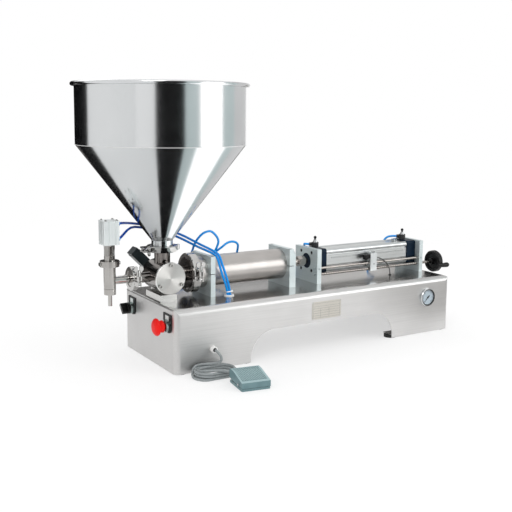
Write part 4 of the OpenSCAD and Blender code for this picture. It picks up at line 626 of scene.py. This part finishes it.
# Air cylinder: clear anodised aluminium extrusion between dark blue painted caps, with
# a milled carriage in front. The nozzle's small cylinder is a paler extrusion, and the
# adapter under the valve's actuator is painted taupe.
paint(brushed_steel("clear_anodised_profile", "x", "#c3c6c6", "#d3d6d6", 0.3, 1.6, 0.05),
      "air_tube")
paint(brushed_steel("milled_aluminium", "z", "#c9cdce", "#d9dcdd", 0.4, 1.4, 0.05), "carriage")
paint(brushed_steel("nozzle_cylinder_profile", "z", "#e9eeee", "#f4f7f7", 0.48, 1.6, 0.05),
      "nozzle_cylinder")
paint(moulded("dark_blue_paint", "#041523", "#071f33", 0.35, 0.8, 0.05, ior=1.22), "air_caps")
paint(moulded("taupe_paint", "#b0a298", "#bfb0a6", 0.5, 0.8, 0.1), "actuator_adapter")


# Scale on the air cylinder: a row of ticks printed in grey ink, 5 mm apart, each fifth
# one longer
box_faces = ((0, 1, 3, 2), (4, 6, 7, 5), (0, 4, 5, 1), (2, 3, 7, 6), (0, 2, 6, 4), (1, 5, 7, 3))


def blocks(name, boxes, body="machine"):
    """Square-edged bits as one piece, each given by two opposite corners."""
    points, faces = [], []
    for low, high in boxes:
        n = len(points)
        points += [(x, y, z) for x in (low[0], high[0]) for y in (low[1], high[1])
                   for z in (low[2], high[2])]
        faces += [[n + k for k in face] for face in box_faces]
    mesh = bpy.data.meshes.new(name)
    mesh.from_pydata(points, [], faces)
    return placed(name, mesh, body)


scale_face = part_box("air_tube")[0][1] - 0.0002
scale_left, scale_foot, tick_pitch, tick_w = 0.146, 0.2135, 0.005, 0.0006
scale_ticks = 51
ticks = []
for k in range(scale_ticks):
    x, tall = scale_left + tick_pitch * k, 0.002 + 0.0015 * (k % 5 == 0)
    ticks.append(((x, scale_face, scale_foot),
                  (x + tick_w, scale_face + 0.0006, scale_foot + tall)))
blocks("cylinder_scale", ticks)
paint(moulded("grey_print", "#55585a", "#636668", 0.5, 0.8, 0.05), "cylinder_scale")

# Black moulded parts: knobs, sensor, legend plates and needle of glass filled nylon,
# satin, and the handwheel, its grip and the switch's knob of glossier phenolic
paint(moulded("black_nylon", "#08080a", "#111113", 0.42, 0.9, ior=1.33),
      "speed_knob_front", "speed_knob_rear", "position_sensor", "legend_plates", "gauge_needle")
paint(moulded("black_phenolic", "#060607", "#0e0e0f", 0.33, 1.4, 0.1, ior=1.36), "handwheel",
      "wheel_grip", "switch_knob")

# Valve actuator and solenoid valves: die cast aluminium, painted a blue black
paint(moulded("dark_die_casting", "#1d2528", "#2b3437", 0.35, 1.0, ior=1.42), "valve_actuator",
      "solenoid_valves")

# Emergency stop, gland and hose bushes: moulded nylon, red and white. The collars of
# both operators are satin plated.
paint(moulded("red_moulded_nylon", "#d80c05", "#e4150b", 0.42, 1.0, 0.1, ior=1.3), "estop_button")
paint(moulded("white_nylon", "#e4e5e3", "#f4f4f2", 0.4, 1.0, 0.1), "cable_gland", "hose_grommets")
paint(polished_steel("satin_collar", "#9aa8a6", "#b6c3c1", 0.2), "switch_housing", "estop_housing")

# Foot switch: moulded grey green polypropylene. Crowns and top faces are tinted paler,
# a painted highlight where light from above falls on them.
pedal_skin = moulded("grey_green_polypropylene", "#5f7b80", "#6d898d", 0.5, 0.9, 0.3, ior=1.4)
tree = pedal_skin.node_tree
up_face = add(tree, "NewGeometry").outputs["True Normal"]
up_face = add(tree, "SeparateXYZ", links={"Vector": up_face})
# Painted light: faces that look up are tinted paler than the sides
top_lit = add(tree, "MapRange", {"From Min": 0.6, "From Max": 0.95}, {"Value": up_face.outputs["Z"]})
skin = tree.nodes["Principled BSDF"]
moulded_tint = skin.inputs["Base Color"].links[0].from_socket
top_lit_tint = add(tree, "MixRGB", {"Color2": linear("#9db6b9")}, {"Fac": top_lit, "Color1": moulded_tint})
tree.links.new(top_lit_tint.outputs["Color"], skin.inputs["Base Color"])
paint(pedal_skin, "pedal_base", "pedal_treadle")

# Gauge and nameplate: a pale printed dial in a polished bezel, and a satin plate
paint(moulded("pale_dial", "#b4c2cc", "#bfcdd6", 0.5, 0.8, 0.05), "gauge_dial")
paint(polished_steel("polished_bezel", "#bfc2c4", "#d5d8d9", 0.15), "gauge_case")
paint(brushed_steel("satin_nameplate", "x", "#bcb8b0", "#c8c5be", 0.42, 1.2), "nameplate")

# Speed control valves: bodies of black nylon, moulded, with nickel plated hexagon nuts
# on their stems, above nut_foot
nut_foot = 0.2556
material, tree = finish_named("speed_valve_body")
place = add(tree, "TexCoord").outputs["Object"]
height = add(tree, "SeparateXYZ", links={"Vector": place})
is_nut = add(tree, "Math", {1: nut_foot}, {0: height.outputs["Z"]}, operation="GREATER_THAN")
grit = add(tree, "TexNoise", {"Scale": 900, "Detail": 2}, {"Vector": place})
black = add(tree, "ValToRGB", links={"Fac": grit}, stops=((0, "#131315"), (1, "#242426")))
nickel = add(tree, "ValToRGB", links={"Fac": grit}, stops=((0, "#b9b9ba"), (1, "#cfcfd0")))
nylon = add(tree, "BsdfPrincipled", {"Roughness": 0.4}, {"Base Color": black})
plated = add(tree, "BsdfPrincipled", {"Roughness": 0.22, "Metallic": 1}, {"Base Color": nickel})
either = add(tree, "MixShader", links={0: is_nut, 1: nylon, 2: plated})
add(tree, "OutputMaterial", links={"Surface": either})
paint(material, "speed_valves")

# Lead screw: steel with a rolled trapezoidal thread, one turn in screw_lead, drawn by
# a bump and by painted shade, darker in the thread's grooves
screw_lead = 0.008
material, tree = finish_named("rolled_screw_thread")
low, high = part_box("lead_screw")
middle = (Vector(low) + Vector(high)) / 2
place = add(tree, "Mapping", {"Location": -middle},
            {"Vector": add(tree, "TexCoord").outputs["Object"]})
apart = add(tree, "SeparateXYZ", links={"Vector": place})
around = add(tree, "Math", links={0: apart.outputs["Y"], 1: apart.outputs["Z"]},
             operation="ARCTAN2")
turns_around = add(tree, "Math", {1: 1 / (2 * math.pi)}, {0: around}, operation="MULTIPLY")
along = add(tree, "Math", {1: 1 / screw_lead}, {0: apart.outputs["X"]}, operation="MULTIPLY")
thread = add(tree, "Math", links={0: along, 1: turns_around}, operation="ADD")
flank = add(tree, "Math", {1: 0.5}, {0: thread}, operation="PINGPONG")
# Painted shade: the thread's grooves are tinted darker than its crests
tint = add(tree, "ValToRGB", links={"Fac": flank}, stops=((0.12, "#75706c"), (0.3, "#98938f")))
bump = add(tree, "Bump", {"Strength": 0.25, "Distance": 0.001}, {"Height": flank})
steel = add(tree, "BsdfPrincipled", {"Metallic": 1, "Roughness": 0.25},
            {"Base Color": tint, "Normal": bump})
add(tree, "OutputMaterial", links={"Surface": steel})
paint(material, "lead_screw")

# Air hoses: blue polyurethane tube, extruded, glossy. Along their length the tint goes
# from deep blue at the left, painted shade, to light blue towards the right, painted light.
shaded_until, lit_from = -0.31, -0.19
hose_skin = moulded("blue_polyurethane", "#033f9c", "#0850b4", 0.25, 1.5, 0.05, ior=1.4)
tree = hose_skin.node_tree
along = add(tree, "SeparateXYZ", links={"Vector": add(tree, "TexCoord").outputs["Object"]})
# Painted shade and light: along X the hose is tinted deep blue at the left and light blue at the
# right
lit_share = add(tree, "MapRange", {"From Min": shaded_until, "From Max": lit_from},
              {"Value": along.outputs["X"]})
skin = tree.nodes["Principled BSDF"]
shaded_tint = skin.inputs["Base Color"].links[0].from_socket
lit_tint = add(tree, "MixRGB", {"Color2": linear("#0a94e6")}, {"Fac": lit_share, "Color1": shaded_tint})
tree.links.new(lit_tint.outputs["Color"], skin.inputs["Base Color"])
paint(hose_skin, "air_hoses")

# Hose ports: a black collar where a valve or cylinder has one, and the blue push-in
# ring that holds the hose and lets it go when pressed
yoke_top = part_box("nozzle_yoke")[1][2]
port_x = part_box("nozzle_cylinder")[1][0]
valve_xs, valve_z, valve_reach = (0.1125, 0.41975), 0.24925, 0.015
lean = math.radians(50)
collar_l = 0.0066
nozzle_port_y, solenoid_back = 0.004, 0.092
ports = [((port_x, nozzle_port_y, yoke_top + 0.046), (1, 0, 0)),
         ((port_x, nozzle_port_y, yoke_top + 0.010), (1, 0, 0)),
         ((base_left + 0.0513, solenoid_back, 0.198), (0, 1, 0)),
         ((base_left + 0.0676, solenoid_back, 0.182), (0, 1, 0))]
collar = [(0.0052, -0.0005), (0.0052, 0.006), (0.0048, collar_l), (0.0034, collar_l)]
ring = [(0.0044, -0.0005), (0.0044, 0.0018), (0.0040, 0.0022), (0.0033, 0.0022)]
for number, (foot, way) in enumerate(ports):
    turned(f"port_collar_{number}", collar, foot, way)
    ports[number] = (Vector(foot) + Vector(way) * collar_l, way)
for x in valve_xs:
    way = Vector((-math.cos(lean), math.sin(lean), 0))
    ports.append((Vector((x, 0, valve_z)) + way * valve_reach, way))
for number, (foot, way) in enumerate(ports):
    turned(f"release_ring_{number}", ring, foot, way)
paint(bpy.data.materials["black_nylon"], *[f"port_collar_{k}" for k in range(4)])
paint(moulded("blue_acetal", "#2a86d8", "#3b97e6", 0.4, 1.0, 0.1),
      *[f"release_ring_{k}" for k in range(6)])

# Hose tie: a white nylon strap round the pair of hoses above their bush, with its
# locking head on the right
tie_x, tie_y, tie_z = base_left + 0.1853, base_front + 0.0797, 0.163
tie_half_w, tie_cuts = 0.0013, 24
half_between_hoses, tie_r, tie_depth = 0.0034, 0.0039, 0.0041
tie = []
for k in range(tie_cuts):
    a = 2 * math.pi * k / tie_cuts
    tie.append((tie_x + math.cos(a) * tie_r + math.copysign(half_between_hoses, math.cos(a)),
                tie_y + math.sin(a) * tie_depth))
band = bpy.data.meshes.new("hose_tie")
band.from_pydata([(x, y, z) for x, y in tie for z in (tie_z - tie_half_w, tie_z + tie_half_w)], [],
                 [(2 * k, (2 * k + 2) % (2 * tie_cuts), (2 * k + 3) % (2 * tie_cuts), 2 * k + 1)
                  for k in range(tie_cuts)])
placed("hose_tie", band, "machine")
bpy.data.objects["hose_tie"].modifiers.new("thickness", "SOLIDIFY").thickness = 0.001
blocks("hose_tie_head", [((tie_x + 0.0068, tie_y - 0.002, tie_z - 0.002),
                                  (tie_x + 0.0108, tie_y + 0.002, tie_z + 0.002))])
paint(bpy.data.materials["white_nylon"], "hose_tie", "hose_tie_head")

# Pressure gauge: black ring in the bezel, printed ticks over 270 degrees, and a
# clear pane in front of the needle
low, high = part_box("gauge_dial")
dial_x, dial_z, dial_y = (low[0] + high[0]) / 2, (low[2] + high[2]) / 2, low[1]
outer = (high[0] - low[0]) / 2
ring_cuts, ring_in, ring_out, ring_off = 48, 0.9, 0.995, 0.0006
band = bpy.data.meshes.new("gauge_ring")
points, faces = [], []
for k in range(ring_cuts):
    a = 2 * math.pi * k / ring_cuts
    points += [(dial_x + math.cos(a) * r, dial_y - ring_off, dial_z + math.sin(a) * r)
               for r in (outer * ring_in, outer * ring_out)]
    faces.append((2 * k, 2 * k + 1, (2 * k + 3) % (2 * ring_cuts), (2 * k + 2) % (2 * ring_cuts)))
band.from_pydata(points, [], faces)
placed("gauge_ring", band, "machine")
ticks = bpy.data.meshes.new("gauge_ticks")
zero_angle, tick_angle, tick_count = 225, 9, 31
tick_out, tick_off = 0.85, 0.0004
points, faces = [], []
for k in range(tick_count):
    a = math.radians(zero_angle - tick_angle * k)
    along, across = Vector((math.cos(a), 0, math.sin(a))), Vector((-math.sin(a), 0, math.cos(a)))
    inner, half = (0.66, 0.0005) if k % 5 == 0 else (0.76, 0.00025)
    n = len(points)
    points += [Vector((dial_x, dial_y - tick_off, dial_z)) + along * outer * r + across * h
               for r, h in ((inner, -half), (tick_out, -half), (tick_out, half), (inner, half))]
    faces.append((n, n + 1, n + 2, n + 3))
ticks.from_pydata(points, [], faces)
placed("gauge_ticks", ticks, "machine")
paint(bpy.data.materials["black_nylon"], "gauge_ring", "gauge_ticks")
bezel_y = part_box("gauge_case")[0][1]
pane_r, pane_t, pane_in = outer * 1.01, 0.0008, 0.0022
turned("gauge_glass", [(pane_r, 0), (pane_r, pane_t)],
               (dial_x, bezel_y + pane_in, dial_z), (0, -1, 0), sides=64)
material, tree = finish_named("clear_pane")
smear = add(tree, "TexNoise", {"Scale": 60}, {"Vector": add(tree, "TexCoord").outputs["Object"]})
rub = add(tree, "MapRange", {"To Min": 0.02, "To Max": 0.06}, {"Value": smear})
mirrored = add(tree, "BsdfGlossy", links={"Roughness": rub})
share_back = add(tree, "Fresnel", {"IOR": 1.2})
pane = add(tree, "MixShader", links={0: share_back, 1: add(tree, "BsdfTransparent"), 2: mirrored})
add(tree, "OutputMaterial", links={"Surface": pane})
paint(material, "gauge_glass")

# Nameplate: satin plate with a printed frame and empty fields, held by four small
# bright rivets
low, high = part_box("nameplate")
rules = []
frame_in, line, line_t, rivet_in = 0.004, 0.0004, 0.0004, 0.002
title_h, row_h, rows = 0.008, 0.006, 4
left, right_end = low[0] + frame_in, high[0] - frame_in
foot, head = low[2] + frame_in, high[2] - frame_in
face = low[1] - 0.0001
for z in [foot, head, head - title_h] + [foot + row_h * (k + 1) for k in range(rows)]:
    rules.append(((left, face, z - line / 2), (right_end, face + line_t, z + line / 2)))
for x, z in ((left, head), (right_end, head), (left + 0.022, foot + row_h * rows),
             (left + 0.048, foot + row_h * rows)):
    rules.append(((x - line / 2, face, foot), (x + line / 2, face + line_t, z)))
blocks("nameplate_rules", rules)
paint(bpy.data.materials["grey_print"], "nameplate_rules")
rivets = [(x, z) for x in (low[0] + rivet_in, high[0] - rivet_in)
          for z in (low[2] + rivet_in, high[2] - rivet_in)]
for number, (x, z) in enumerate(rivets):
    turned(f"nameplate_rivet_{number}",
                   [(0.0011, -0.0004), (0.0011, 0.0003), (0.0006, 0.0008), (0.0001, 0.0009)],
                   (x, low[1], z), (0, -1, 0), sides=16)
    paint(bpy.data.materials["polished_bezel"], f"nameplate_rivet_{number}")

# Legend plates: pale blank labels of printed foil, and a white mark on the end of the
# switch's bar
plate_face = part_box("legend_plates")[0][0]
label_foot, label_head, label_half_w, mark_t = 0.1235, 0.1345, 0.0085, 0.0003
for name, y in (("estop_label", -0.099), ("switch_label", 0.107)):
    blocks(name, [((plate_face - mark_t, y - label_half_w, label_foot),
                           (plate_face + mark_t, y + label_half_w, label_head))])
paint(moulded("pale_label", "#cfd6d4", "#dbe1df", 0.5, 0.9, 0.05), "estop_label", "switch_label")
low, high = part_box("switch_knob")
bar_end = Vector((low[0], (low[1] + high[1]) / 2, (low[2] + high[2]) / 2))
sin_45 = 0.7071
along, across = Vector((0, sin_45, sin_45)), Vector((0, -sin_45, sin_45))
mark = bpy.data.meshes.new("switch_mark")
mark.from_pydata([bar_end + Vector((x, 0, 0)) + along * s + across * w for x in (-mark_t, 0.0004)
                  for s in (0.003, (high[2] - low[2]) / 2 - 0.0015) for w in (-0.0008, 0.0008)], [],
                 box_faces)
placed("switch_mark", mark, "switch")
paint(bpy.data.materials["pale_label"], "switch_mark")


# Sensor cable: thin black cable, extruded rubber, from the position sensor on the
# carriage to a bush in the base top.
def cord_mesh(name, points, radius, sides=10):
    """A round cord as a mesh."""
    rings, faces = [], []
    side = None
    for i, p in enumerate(points):
        way = (points[min(i + 1, len(points) - 1)] - points[max(i - 1, 0)]).normalized()
        side = (way.orthogonal() if side is None else side - way * side.dot(way)).normalized()
        other = way.cross(side)
        for k in range(sides):
            a = 2 * math.pi * k / sides
            rings.append(p + (side * math.cos(a) + other * math.sin(a)) * radius)
    for i in range(len(points) - 1):
        for k in range(sides):
            a, b = i * sides + k, i * sides + (k + 1) % sides
            faces.append((a, b, b + sides, a + sides))
    faces += [tuple(reversed(range(sides))), tuple(range(len(rings) - sides, len(rings)))]
    mesh = bpy.data.meshes.new(name)
    mesh.from_pydata(rings, [], faces)
    mesh.shade_smooth()
    return placed(name, mesh, None)


low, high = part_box("position_sensor")
carriage_low, carriage_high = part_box("carriage")
start = Vector((carriage_high[0] - 0.0005, carriage_low[1] + 0.006, 0.2046))
foot = Vector((base_left + 0.708, base_front + 0.088, 0.1525))
bend = [start, start + Vector((0.006, -0.001, 0.0006)),
        Vector((base_left + 0.681, base_front + 0.090, 0.1985)),
        Vector((base_left + 0.695, base_front + 0.089, 0.187)),
        Vector((base_left + 0.705, base_front + 0.088, 0.171)), foot + Vector((0, 0, 0.006)), foot]
sensor_cable = cord_mesh("sensor_cable", smooth_run(bend, 0.0015), 0.0012)
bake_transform(sensor_cable)
turned("sensor_cable_bush", [(0.0042, -0.0004), (0.0042, 0.001), (0.0034, 0.0018),
                                     (0.0014, 0.0022)], foot, (0, 0, 1))
blocks("sensor_lead", [((low[0] + 0.004, low[1] - 0.0006, high[2] - 0.0035),
                                (high[0] - 0.004, low[1] + 0.001, high[2] - 0.0015))],
               "stop_carriage")
paint(bpy.data.materials["black_rubber"], "sensor_cable", "sensor_cable_bush", "sensor_lead")

# Fitting on the air cylinder's rear end: a small plated block with a black plug screw
fitting_x, fitting_z, fitting_half = base_left + 0.7615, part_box("air_tube")[1][2], 0.006
blocks("tube_fitting", [((fitting_x - fitting_half, -fitting_half, fitting_z - 0.0004),
                                 (fitting_x + fitting_half, fitting_half, fitting_z + 0.005))])
turned("tube_fitting_plug", [(0.0019, -0.0005), (0.0019, 0.0005), (0.0012, 0.0005)],
               (fitting_x + 0.001, -fitting_half, fitting_z + 0.0024), (0, -1, 0), sides=20)
paint(bpy.data.materials["polished_bezel"], "tube_fitting")
paint(bpy.data.materials["black_oxide_screw"], "tube_fitting_plug")

# Carriage: two screws on top that hold the sensor's clip and a set screw in front,
# all of black steel
dome = [(0.0018, -0.0004), (0.0018, 0.0006), (0.0012, 0.0012), (0.0003, 0.0014)]
clip_x, clip_half = (carriage_low[0] + carriage_high[0]) / 2, 0.0035
for number, x in enumerate((clip_x - clip_half, clip_x + clip_half)):
    turned(f"sensor_clip_screw_{number}", dome,
                   (x, carriage_low[1] + 0.004, carriage_high[2]), (0, 0, 1), "stop_carriage", 20)
turned("carriage_set_screw", [(0.0016, -0.0004), (0.0016, 0.0003), (0.0008, 0.0003)],
               (clip_x + 0.001, carriage_low[1],
                carriage_high[2] - 0.64 * (carriage_high[2] - carriage_low[2])), (0, -1, 0),
               "stop_carriage", 20)
paint(bpy.data.materials["black_oxide_screw"], "sensor_clip_screw_0", "sensor_clip_screw_1",
      "carriage_set_screw")

# Nozzle: the seam where the seat ring is screwed into the body, and the four screws
# that hold the air cylinder's cover
screw_out = 0.0135
low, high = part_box("nozzle_cylinder")
nozzle_x, nozzle_y = (low[0] + high[0]) / 2, (low[1] + high[1]) / 2
turned("nozzle_seam", [(0.0139, 0), (0.01412, 0.0001), (0.01412, 0.0007), (0.0139, 0.0008)],
               (nozzle_x, 0, 0.1895), (0, 0, 1), sides=64)
paint(bpy.data.materials["dark_turned_head"], "nozzle_seam")
cover_screws = [(x, y) for x in (-screw_out, screw_out) for y in (-screw_out, screw_out)]
for number, (x, y) in enumerate(cover_screws):
    turned(f"nozzle_cover_screw_{number}",
                   [(0.0028, -0.0004), (0.0028, 0.0018), (0.0018, 0.0028), (0.0004, 0.003)],
                   (nozzle_x + x, nozzle_y + y, high[2]), (0, 0, 1), sides=24)
    paint(bpy.data.materials["cast_clamp_steel"], f"nozzle_cover_screw_{number}")

# Foot switch: the bright hinge screw in the treadle's side
low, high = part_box("pedal_treadle")
turned("treadle_side_screw", [(0.0026, -0.0004), (0.0026, 0.0004), (0.0018, 0.0009),
                                      (0.0004, 0.001)],
               (low[0], low[1] + 0.33 * (high[1] - low[1]), 0.012), (-1, 0, 0), "treadle", 24)
paint(bpy.data.materials["polished_bezel"], "treadle_side_screw")

bpy.context.view_layer.update()
